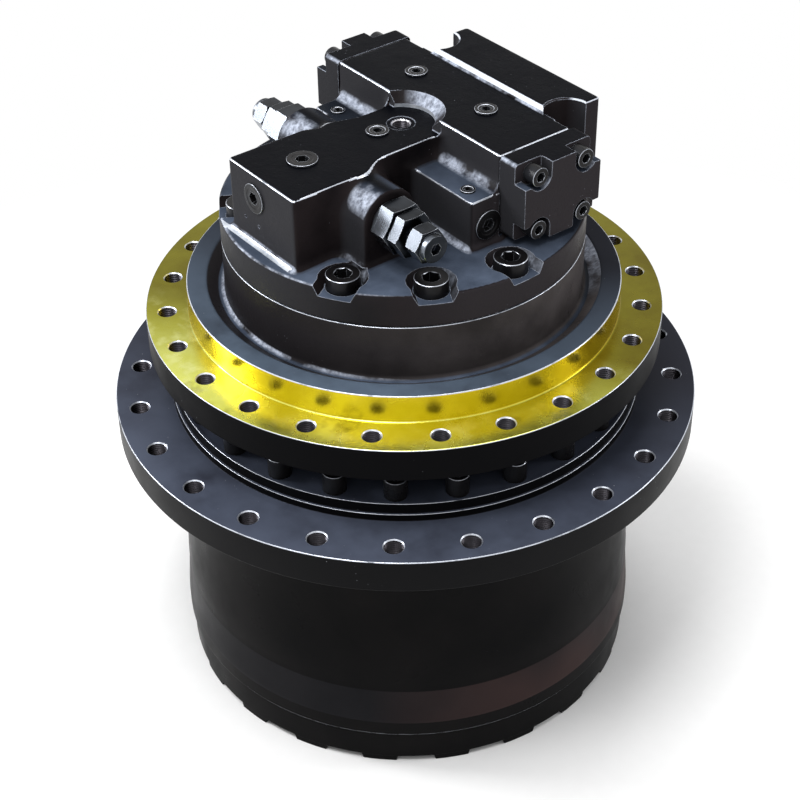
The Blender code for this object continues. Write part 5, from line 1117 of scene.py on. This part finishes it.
class Field:
    """Signed distances on a grid, negative inside, meshed at zero."""

    def __init__(self, low, high, pitch):
        self.low = Vector(low)
        self.pitch = pitch
        sizes = [int(round((b - a) / pitch)) + 1 for a, b in zip(low, high)]
        steps = np.ogrid[0:sizes[0], 0:sizes[1], 0:sizes[2]]
        self.x, self.y, self.z = ((axis * pitch + start).astype(np.float32)
                                  for axis, start in zip(steps, low))

    def outline(self, points, first, second):
        """Distance to a closed outline in the plane of two coordinates."""
        best = np.full(np.broadcast_shapes(first.shape, second.shape), FAR, np.float32)
        inside = np.zeros(best.shape, bool)
        for (ax, ay), (bx, by) in zip(points, points[1:] + points[:1]):
            ex, ey = bx - ax, by - ay
            wx, wy = first - ax, second - ay
            t = np.clip((wx * ex + wy * ey) / max(ex * ex + ey * ey, TINY), 0, 1)
            best = np.minimum(best, (wx - ex * t) ** 2 + (wy - ey * t) ** 2)
            crosses = (ay > second) != (by > second)
            level = ey if abs(ey) > TINY else TINY
            inside ^= crosses & (first < ex * (second - ay) / level + ax)
        distance = np.sqrt(best)
        return np.where(inside, -distance, distance)

    def upright(self, plan, bottom, top, chamfer):
        """A plan extruded in Z with a chamfer round its top."""
        above = self.z - top
        body = np.maximum(np.maximum(plan, above), bottom - self.z)
        return np.maximum(body, (plan + above + chamfer) * DIAGONAL)

    def block(self, outline, top):
        """A block of the casting that stands on the disc."""
        return self.upright(self.outline(outline, self.x, self.y), BLOCK_FOOT, top, BLOCK_CHAMFER)

    def arch(self, y, start, end, foot):
        """An arched boss along X, straight down below its axis."""
        across = self.y - y
        rise = self.z - RELIEF_AXIS_HEIGHT
        section = np.where(rise > 0, np.hypot(across, rise), np.abs(across)) - RELIEF_BOSS_RADIUS
        ends = np.maximum(start - self.x, self.x - end)
        body = np.maximum(np.maximum(section, ends), foot - self.z)
        return np.maximum(body, (section + ends + ARCH_CHAMFER) * DIAGONAL)

    def mesh(self, name, distances):
        """The surface at zero."""
        grid = openvdb.FloatGrid()
        grid.copyFromArray(np.ascontiguousarray(distances, dtype=np.float32))
        points, triangles, quads = grid.convertToPolygons(isovalue=0.0, adaptivity=0.0)
        points = points * self.pitch + np.array(self.low, np.float32)
        mesh = bpy.data.meshes.new(name)
        mesh.from_pydata(points.tolist(), [], triangles.tolist() + quads.tolist())
        builder = bmesh.new()
        builder.from_mesh(mesh)
        bmesh.ops.recalc_face_normals(builder, faces=builder.faces)
        builder.to_mesh(mesh)
        builder.free()
        return mesh


def blended(first, second, reach):
    """A union with a fillet of about the given reach where the two meet."""
    share = np.clip(0.5 + 0.5 * (second - first) / reach, 0, 1)
    return second * (1 - share) + first * share - reach * share * (1 - share)


def rectangle(low, high, corner):
    """A rectangle's outline with round corners."""
    return rounded([(low[0], low[1], corner), (high[0], low[1], corner), (high[0], high[1], corner),
                    (low[0], high[1], corner)])


def cover_casting():
    """The cast form of the rear cover before machining."""
    field = Field((-CASTING_HALF, -CASTING_HALF, COVER_SEAT - CASTING_MARGIN),
                  (CASTING_HALF, CASTING_HALF, PORT_SLAB_TOP + CASTING_MARGIN), CASTING_PITCH)
    disc = np.hypot(field.x, field.y) - CASE_RADIUS
    base = field.upright(disc, COVER_SEAT, REAR_COVER_TOP, COVER_CHAMFER)
    relief_plan = rounded(RELIEF_PLAN)
    relief = field.block(relief_plan, RELIEF_TOP)
    relief = blended(relief, field.arch(FRONT_RELIEF_Y, 0, FRONT_BOSS_END, BLOCK_FOOT), BOSS_BLEND)
    relief = blended(relief, field.arch(BACK_RELIEF_Y, BACK_BOSS_END, 0, BLOCK_FOOT), BOSS_BLEND)
    relief = np.maximum(relief, field.z - RELIEF_TOP)
    ledge, body, slab = (field.block(rectangle(low, high, corner), top) for low, high, corner, top in (
        ((-SIDE_BLOCK_SIDE, SIDE_BLOCK_FRONT), (SIDE_BLOCK_SIDE, CAP_FRONT - OVERRUN), 0.005, SIDE_BLOCK_TOP),
        ((VALVE_BODY_LEFT, VALVE_BODY_FRONT), (VALVE_BODY_RIGHT, VALVE_BODY_BACK), 0.002, VALVE_BODY_TOP),
        ((-PORT_SLAB_SIDE, PORT_SLAB_FRONT), (PORT_SLAB_SIDE, PORT_SLAB_BACK), 0.004, PORT_SLAB_TOP)))
    slab = np.maximum(slab, (field.z - VALVE_BODY_TOP - (field.y - PORT_SLAB_FRONT)) * DIAGONAL)
    blocks = blended(blended(relief, ledge, LEDGE_BLEND), np.minimum(body, slab), LEDGE_BLEND)
    near_relief = field.outline(relief_plan, field.x, field.y) < 0.001
    cap = np.where(field.y > VALVE_BODY_FRONT - 0.001, np.float32(PORT_SLAB_TOP), np.float32(RELIEF_TOP))
    capped = np.maximum(blocks, field.z - cap)
    blocks = np.where(near_relief & (field.y < VALVE_BODY_FRONT), capped, blocks)
    whole = blended(base, blocks, FOOT_BLEND)
    whole = np.maximum(np.maximum(whole, disc * 0 + COVER_SEAT - field.z), field.z - PORT_SLAB_TOP)
    middle, half = (VALVE_BODY_LEFT + VALVE_BODY_RIGHT) / 2, (VALVE_BODY_RIGHT - VALVE_BODY_LEFT) / 2
    end_caps = np.abs(field.x - middle) - half
    ends = np.where(field.z > CAP_BOTTOM - 0.001, end_caps, -1)
    whole = np.where(field.y > CAP_FRONT - 0.001, np.maximum(whole, ends), whole)
    item = new_object("rear_cover_body", field.mesh("rear_cover_body", whole))
    item.modifiers.new("thin", 'DECIMATE').ratio = CASTING_SHARE
    return applied(item)


def cover_screw_places():
    """A place matrix for each cover screw, its local X pointing outward."""
    return [Matrix.Rotation(a, 4, 'Z') @ at(COVER_SCREW_CIRCLE, 0, 0) for a in COVER_SCREW_ANGLES]


def pocket_cutter(name):
    """Screw pockets in the cover's rim: round at the back, wider at the top and open outward."""
    builder = bmesh.new()
    slope = (POCKET_TOP_HALF - POCKET_FLOOR_HALF) / (REAR_COVER_TOP - POCKET_FLOOR)
    for place in cover_screw_places():
        rings = []
        for height in (POCKET_FLOOR, REAR_COVER_TOP + OVERRUN):
            half = POCKET_FLOOR_HALF + slope * (height - POCKET_FLOOR)
            points = [(POCKET_RADIUS * 1.4, -half), (POCKET_RADIUS * 1.4, half)]
            for step in range(POCKET_STEPS + 1):
                angle = POCKET_OPENING + (math.tau - 2 * POCKET_OPENING) * step / POCKET_STEPS
                points.append(polar(half * POCKET_BULGE, angle))
            rings.append(add_ring(builder, points, height, place))
        add_block(builder, *rings)
    return solid(name, builder)


def cylinder_cutter(name, places, radius, bottom, top, segments=HEAD_ROUND, chamfer=0):
    """Equal round cutters, with a chamfer at the top face if asked."""
    builder = bmesh.new()
    for place in places:
        profile = [(0, top + OVERRUN), (radius + chamfer + (OVERRUN if chamfer else 0), top + OVERRUN)]
        if chamfer:
            profile += [(radius + chamfer, top), (radius, top - chamfer)]
        profile += [(radius, bottom), (0, bottom)]
        add_lathe(builder, profile, segments, place)
    return solid(name, builder)


def plug_places():
    """The socket plugs: name, place with local Z out of the face, and sizes."""
    return (("relief_top_plug_1", at(-0.008, -0.1156, RELIEF_TOP), LARGE_PLUG),
            ("relief_top_plug_2", at(-0.008, -0.0245, RELIEF_TOP), SMALL_PLUG),
            ("valve_top_plug_1", at(-0.064, 0.069, VALVE_BODY_TOP), VALVE_PLUG),
            ("valve_top_plug_2", at(0.045, 0.071, VALVE_BODY_TOP), VALVE_PLUG),
            ("front_plug", at(-0.0144, -0.1686, 0.6167) @ ALONG_MINUS_Y, LARGE_PLUG),
            ("side_plug", at(SIDE_BLOCK_SIDE, 0.0044, 0.5888) @ ALONG_X, LARGE_PLUG),
            ("ledge_plug", at(0.1055, -0.002, SIDE_BLOCK_TOP), TINY_PLUG),
            ("ledge_plug_left", at(-0.1046, -0.0028, SIDE_BLOCK_TOP), TINY_PLUG))


def rear_cover():
    """The casting with its machined pockets, recess, bores, ports and threads."""
    item = paint(cover_casting(), CAST, EDGE, THREAD, STRIP)
    tops = (RELIEF_TOP, VALVE_BODY_TOP, PORT_SLAB_TOP, SIDE_BLOCK_TOP)

    def chamfered(c, n):
        level = any(top - BLOCK_CHAMFER - 0.0004 < c.z < top for top in tops)
        slope = abs(c.y - PORT_SLAB_FRONT) < 0.012 and c.z > VALVE_BODY_TOP and n.y < -0.4
        return level and 0.45 < n.z < 0.93 and not slope
    # Bright chamfers, partly wear and partly painted highlight.
    paint_where(item, 1, chamfered)
    (left, right), (front, back), height = FRONT_STRIP
    # Painted highlight: the strip at the foot of the relief block's front.
    paint_where(item, 3, lambda c, n: front < c.y < back and left < c.x < right and n.z > 0.6
                and c.z < height)
    screws = cover_screw_places()
    seat = COVER_SCREW_TOP - COVER_SCREW_HEIGHT - GAP
    scallops = [at(side * SCALLOP_PLACE[0], SCALLOP_PLACE[1], 0) for side in (-1, 1)]
    port = at(*OPEN_PORT, 0)
    port_face = RELIEF_TOP - PORT_FACE_DEPTH
    spool = at(0, SPOOL_Y, SPOOL_HEIGHT) @ ALONG_X
    noses = [at(FRONT_BOSS_END, FRONT_RELIEF_Y, RELIEF_AXIS_HEIGHT) @ ALONG_X,
             at(BACK_BOSS_END, BACK_RELIEF_Y, RELIEF_AXIS_HEIGHT) @ ALONG_MINUS_X]
    mains = [at(side * MAIN_PORT_X, PORT_SLAB_BACK, MAIN_PORT_HEIGHT) @ ALONG_Y for side in (-1, 1)]
    pits = [at(x, RELIEF_FRONT, z) @ ALONG_MINUS_Y for x, z in FRONT_PITS]
    cuts = [pocket_cutter("pockets")]
    cuts += [cylinder_cutter(*cut) for cut in (
        ("counterbores", screws, COUNTERBORE_RADIUS, seat, REAR_COVER_TOP),
        ("shanks", screws, COVER_SCREW_SHANK + GAP, COVER_SEAT - OVERRUN, seat),
        ("scallops", scallops, SCALLOP_RADIUS, POCKET_FLOOR, PORT_SLAB_TOP, 64, 0.0014),
        ("recess", [port], RECESS_RADIUS, RELIEF_TOP, VALVE_BODY_TOP, 96, RECESS_SLOPE),
        ("port_face", [port], PORT_FACE_RADIUS, port_face, RELIEF_TOP, MEDIUM_ROUND),
        ("spool_bore", [spool], SPOOL_BORE_RADIUS, VALVE_BODY_LEFT - OVERRUN, VALVE_BODY_RIGHT),
        ("nose_bores", noses, NOSE_BORE_RADIUS, -NOSE_BORE_DEPTH, 0, HEAD_ROUND, 0.001),
        ("main_ports", mains, MAIN_PORT_RADIUS, -MAIN_PORT_DEPTH, 0, MEDIUM_ROUND, 0.0012),
        *((name + "_hole", [place], sizes[1] + GAP, -PLUG_SHANK_LENGTH - OVERRUN, 0)
          for name, place, sizes in plug_places()))]
    builder = bmesh.new()
    add_thread(builder, port, *OPEN_PORT_THREAD, RELIEF_TOP - OPEN_PORT_DEPTH, port_face, 0.0012, True)
    for main in mains:
        for sx in (-1, 1):
            for sz in (-1, 1):
                place = main @ at(sx * PORT_BOLT_PLACE[0], sz * PORT_BOLT_PLACE[1], 0)
                add_thread(builder, place, *PORT_BOLT_THREAD, -PORT_BOLT_DEPTH, 0, 0.0010, True)
    cuts += [solid("threads", builder), cylinder_cutter("pits", pits, PIT_RADIUS, -PIT_DEPTH, 0, 16)]
    kept = rectangle((-CASE_RADIUS, VALVE_BODY_FRONT), (CASE_RADIUS, VALVE_BODY_BACK), 0)
    for cutter in cuts:
        if cutter.name.startswith("scallops"):
            kept_body = prism("kept_body", kept, REAR_COVER_TOP, VALVE_BODY_TOP)
            boolean(cutter, kept_body, 'DIFFERENCE', 'MANIFOLD')
        paint(cutter, CAST, EDGE, THREAD, STRIP)
        if cutter.name.startswith("recess"):
            # Painted highlight on the recess's upright wall.
            paint_where(cutter, 3, lambda c, n: abs(n.z) < 0.3)
        if cutter.name.startswith("threads"):
            # Thread bores: painted shade with painted highlights on the crests.
            paint_where(cutter, 2, lambda c, n: True)
        boolean(item, cutter, 'DIFFERENCE', 'MANIFOLD')
    return dress(item, "spindle", "cast_black", "rear_cover", angle=CASTING_SHARP_ANGLE)


# Screws, plugs, caps and valves

def cover_screws():
    """Socket cap screws round the rear cover."""
    seat = COVER_SCREW_TOP - COVER_SCREW_HEIGHT
    master = socket_head("cover_screw", COVER_SCREW_RADIUS, seat, COVER_SCREW_TOP, COVER_SCREW_SOCKET,
                         COVER_SCREW_SOCKET_DEPTH, 0.0014, COVER_SCREW_SHANK, seat - COVER_SCREW_LENGTH)
    for index, place in enumerate(cover_screw_places()):
        item = new_object("cap_screw_%d" % (index + 1), master.data, place)
        dress(item, "spindle", "dark_steel", "cover_screw_%d" % (index + 1))
    remove(master)


def plugs():
    """Threaded plugs with a raised rim and a hexagon socket."""
    top = PLUG_HEAD_HEIGHT
    dish = top - 0.0004
    for name, place, (head, shank, socket) in plug_places():
        outline = [(0, dish, 0), (head * 0.66, dish, 0.0003), (head * 0.72, top, 0.0003), (head, top, 0.0005),
                   (head, GAP, 0.0002), (shank, GAP, 0), (shank, -PLUG_SHANK_LENGTH, 0.0005),
                   (0, -PLUG_SHANK_LENGTH, 0)]
        item = lathe(name + "_head", rounded(outline), HEAD_ROUND)
        paint(socket_cut(item, socket, top - PLUG_SOCKET_DEPTH, top), OXIDE, EDGE)
        # Bright rims, partly wear and partly painted highlight.
        paint_where(item, 1, lambda c, n: c.z > 0 and 0.3 < n.z < 0.9)
        item.matrix_world = place
        dress(item, "spindle", "dark_steel", *(node for node in (name,) if node in frame["nodes"]))


def valve_cap(node, face, direction):
    """A cast end cap of the counterbalance valve, cut back at its corners round four cap screws."""
    low = (CAP_FRONT - SPOOL_Y, CAP_BOTTOM - SPOOL_HEIGHT)
    high = (CAP_BACK - SPOOL_Y, VALVE_BODY_TOP - SPOOL_HEIGHT)
    if direction is ALONG_MINUS_X:
        low, high = (-high[0], low[1]), (-low[0], high[1])
    item = prism(node + "_body", rectangle(low, high, CAP_CORNER), GAP, CAP_LENGTH)
    floor = CAP_LENGTH - CAP_NOTCH_DEPTH
    builder = bmesh.new()
    screws = []
    for sy, y in ((-1, low[0] + CAP_SCREW_SIDE_INSET), (1, high[0] - CAP_SCREW_SIDE_INSET)):
        for sz, z in ((-1, low[1] + CAP_SCREW_INSET), (1, high[1] - CAP_SCREW_INSET)):
            screws.append((y, z))
            out = CAP_SCREW_SIDE_INSET + OVERRUN
            up = CAP_SCREW_INSET + OVERRUN
            points = [(out, up), (out, -CAP_NOTCH_RADIUS * CAP_NOTCH_FOOT)]
            for step in range(CAP_NOTCH_STEPS + 1):
                angle = math.radians(CAP_NOTCH_START + CAP_NOTCH_SWEEP * step / CAP_NOTCH_STEPS)
                points.append(polar(CAP_NOTCH_RADIUS, angle))
            points.append((-CAP_NOTCH_RADIUS, up))
            points = [(y + sy * across, z + sz * rise) for across, rise in points]
            add_prism(builder, points, floor, CAP_LENGTH + OVERRUN)
    boolean(item, solid("notches", builder))
    bevelled(item, CAP_BEVEL)
    boolean(item, lathe("chamber", [(0, CAP_CHAMBER_DEPTH), (CAP_CHAMBER_RADIUS, CAP_CHAMBER_DEPTH),
                                    (CAP_CHAMBER_RADIUS, -OVERRUN), (0, -OVERRUN)], MEDIUM_ROUND))
    place = at(face, SPOOL_Y, SPOOL_HEIGHT) @ direction
    item.data.transform(place)
    paint(item, CAST)
    dress(item, "spindle", "black_paint", node)
    master = socket_head(node + "_screw", CAP_SCREW_RADIUS, floor, floor + CAP_SCREW_HEIGHT, CAP_SCREW_SOCKET,
                         CAP_SCREW_SOCKET_DEPTH, 0.0010)
    for index, (y, z) in enumerate(screws):
        screw = new_object("%s_screw_%d" % (node, index + 1), master.data, place @ at(y, z, 0))
        dress(screw, "spindle", "dark_steel")
    remove(master)


def relief_valve(side, face, y, direction):
    """Cartridge, lock nut and adjuster with chamfered hexagons."""
    end = GAP + CARTRIDGE_LENGTH
    stem = end - ADJUSTER_STEM_DEPTH
    bore = ADJUSTER_STEM_RADIUS + GAP
    collar = [(0, CARTRIDGE_COLLAR_TOP, 0), (CARTRIDGE_COLLAR_RADIUS, CARTRIDGE_COLLAR_TOP, 0),
              (CARTRIDGE_COLLAR_RADIUS, GAP, 0.0008), (CARTRIDGE_NOSE_RADIUS, GAP, 0),
              (CARTRIDGE_NOSE_RADIUS, -CARTRIDGE_NOSE_LENGTH, 0.001), (0, -CARTRIDGE_NOSE_LENGTH, 0)]
    cartridge = hex_body("cartridge_" + side, CARTRIDGE_FLATS, GAP + CARTRIDGE_GROOVE, end, HEX_CHAMFER)
    boolean(cartridge, lathe("collar", rounded(collar), 64), 'UNION')
    boolean(cartridge, cylinder_cutter("stem_bore", [UPRIGHT], bore, stem - GAP, end, MEDIUM_ROUND))
    nut_start = end + GAP
    nut_end = nut_start + LOCK_NUT_LENGTH
    nut = hex_body("lock_nut_" + side, LOCK_NUT_FLATS, nut_start, nut_end, HEX_CHAMFER)
    over, under = nut_end + OVERRUN, nut_start - OVERRUN
    boolean(nut, lathe("nut_bore", [(0, over), (ADJUSTER_STEM_RADIUS + 0.0022, over), (bore, nut_end - 0.001),
                                    (bore, under), (0, under)], MEDIUM_ROUND))
    hex_start = nut_end + ADJUSTER_NECK
    hex_end = hex_start + ADJUSTER_HEX_LENGTH
    disc_end = hex_end + ADJUSTER_DISC_LENGTH
    adjuster = hex_body("adjuster_" + side, ADJUSTER_FLATS, hex_start, hex_end, ADJUSTER_CHAMFER)
    shape = [(0, disc_end, 0), (ADJUSTER_DISC_RADIUS, disc_end, 0.0010),
             (ADJUSTER_DISC_RADIUS, hex_end - OVERRUN, 0), (ADJUSTER_STEM_RADIUS, hex_start, 0),
             (ADJUSTER_STEM_RADIUS, stem, 0.0006), (0, stem, 0)]
    boolean(adjuster, lathe("stem", rounded(shape), 64), 'UNION')
    socket_cut(adjuster, ADJUSTER_SOCKET, disc_end - ADJUSTER_SOCKET_DEPTH, disc_end)
    for item, body, node in ((cartridge, "spindle", "relief_cartridge_" + side),
                             (nut, "spindle", "relief_lock_nut_" + side),
                             (adjuster, "adjuster_" + side, "relief_adjuster_" + side)):
        item.matrix_world = at(face, y, RELIEF_AXIS_HEIGHT) @ direction
        paint(item, VALVE_STEEL)
        dress(item, body, "bright_steel", node)


# Stage

def camera():
    """The photograph's view."""
    level = math.cos(CAMERA_PITCH)
    forward = Vector((math.sin(CAMERA_YAW) * level, math.cos(CAMERA_YAW) * level, -math.sin(CAMERA_PITCH)))
    side = forward.cross(Vector(UP)).normalized()
    up = side.cross(forward)
    right = side * math.cos(CAMERA_ROLL) + up * math.sin(CAMERA_ROLL)
    top = up * math.cos(CAMERA_ROLL) - side * math.sin(CAMERA_ROLL)
    spin = Matrix.Rotation(CAMERA_AZIMUTH, 3, 'Z')
    view = Matrix((spin @ right, spin @ top, -(spin @ forward))).transposed().to_4x4()
    view.translation = spin @ Vector((0, -CAMERA_DISTANCE, 0)) + Vector((0, 0, CAMERA_HEIGHT))
    lens = bpy.data.cameras.new("camera")
    lens.lens = CAMERA_LENS
    lens.sensor_width = SENSOR_WIDTH
    lens.clip_start = 0.05
    lens.clip_end = 100
    bpy.context.scene.camera = new_object("camera", lens, view)


def lights():
    """Soft studio light round the photograph's view, aimed at the object."""
    for name, azimuth, elevation, distance, size, power in LAMPS:
        a, e = math.radians(azimuth), math.radians(elevation)
        away = Vector((math.sin(a) * math.cos(e), -math.cos(a) * math.cos(e), math.sin(e)))
        lamp = bpy.data.lights.new(name, 'AREA')
        lamp.shape = 'RECTANGLE'
        lamp.size, lamp.size_y = size
        lamp.energy = power
        item = new_object(name, lamp)
        item.location = Vector(LAMP_TARGET) + away * distance
        item.rotation_mode = 'QUATERNION'
        item.rotation_quaternion = (-away).to_track_quat('-Z', 'Y')


def world():
    """White where it is seen directly or mirrored, and a soft grey for diffuse light."""
    made = bpy.data.worlds.new("studio")
    made.use_nodes = True
    tree = made.node_tree
    path = add_node(tree, "LightPath", {}).outputs
    seen = path["Is Camera Ray"]
    for name in ("Is Glossy Ray", "Is Transmission Ray"):
        seen = add_node(tree, "Math", {0: seen, 1: path[name]}, operation='MAXIMUM').outputs["Value"]
    strength = add_node(tree, "MapRange", {"To Min": DIFFUSE_WORLD, "To Max": 1.0, "Value": seen})
    feed(tree, tree.nodes["Background"], {"Color": (1, 1, 1, 1), "Strength": strength.outputs["Result"]})
    bpy.context.scene.world = made


def floor():
    """A pale floor that keeps the shadow near the object and turns white away from it."""
    profile = [(r, 0.0) for r in FLOOR_RINGS] + [(FLOOR_RINGS[-1], -FLOOR_THICKNESS), (0.0, -FLOOR_THICKNESS)]
    item = lathe("floor", profile, 96)
    item.location.z = CAD_LOW.z - FLOOR_GAP
    finish = Finish("floor", specular=0.1)
    position = finish.geometry["Position"]
    reach = finish.add("VectorMath", {0: position}, operation='LENGTH').outputs["Value"]
    grain = finish.add("TexNoise", {"Scale": 60, "Vector": position}).outputs["Fac"]
    tone = finish.mix(grain, (0.93, 0.93, 0.93), (0.96, 0.96, 0.96))
    feed(finish.tree, finish.shader, {"Base Color": tone, "Roughness": 0.9})
    white = finish.add("Emission", {"Color": (1, 1, 1, 1)}).outputs["Emission"]
    inputs = {0: finish.spread(reach, FLOOR_NEAR, FLOOR_FAR), 1: finish.shader.outputs["BSDF"], 2: white}
    surface = finish.add("MixShader", inputs).outputs["Shader"]
    feed(finish.tree, finish.tree.nodes["Material Output"], {"Surface": surface})
    item.data.materials.append(finish.material)


finish_frame_nodes()
camera()
lights()
world()
floor()
end_cover()
cover_bolts()
ring_gear_drum()
hub()
hub_bolts()
spindle_housing()
rear_cover()
cover_screws()
plugs()
valve_cap("valve_cap_front", VALVE_BODY_RIGHT, ALONG_X)
valve_cap("valve_cap_back", VALVE_BODY_LEFT, ALONG_MINUS_X)
relief_valve("front", FRONT_BOSS_END, FRONT_RELIEF_Y, ALONG_X)
relief_valve("back", BACK_BOSS_END, BACK_RELIEF_Y, ALONG_MINUS_X)

bpy.context.scene.view_settings.view_transform = 'Standard'
bpy.context.view_layer.update()
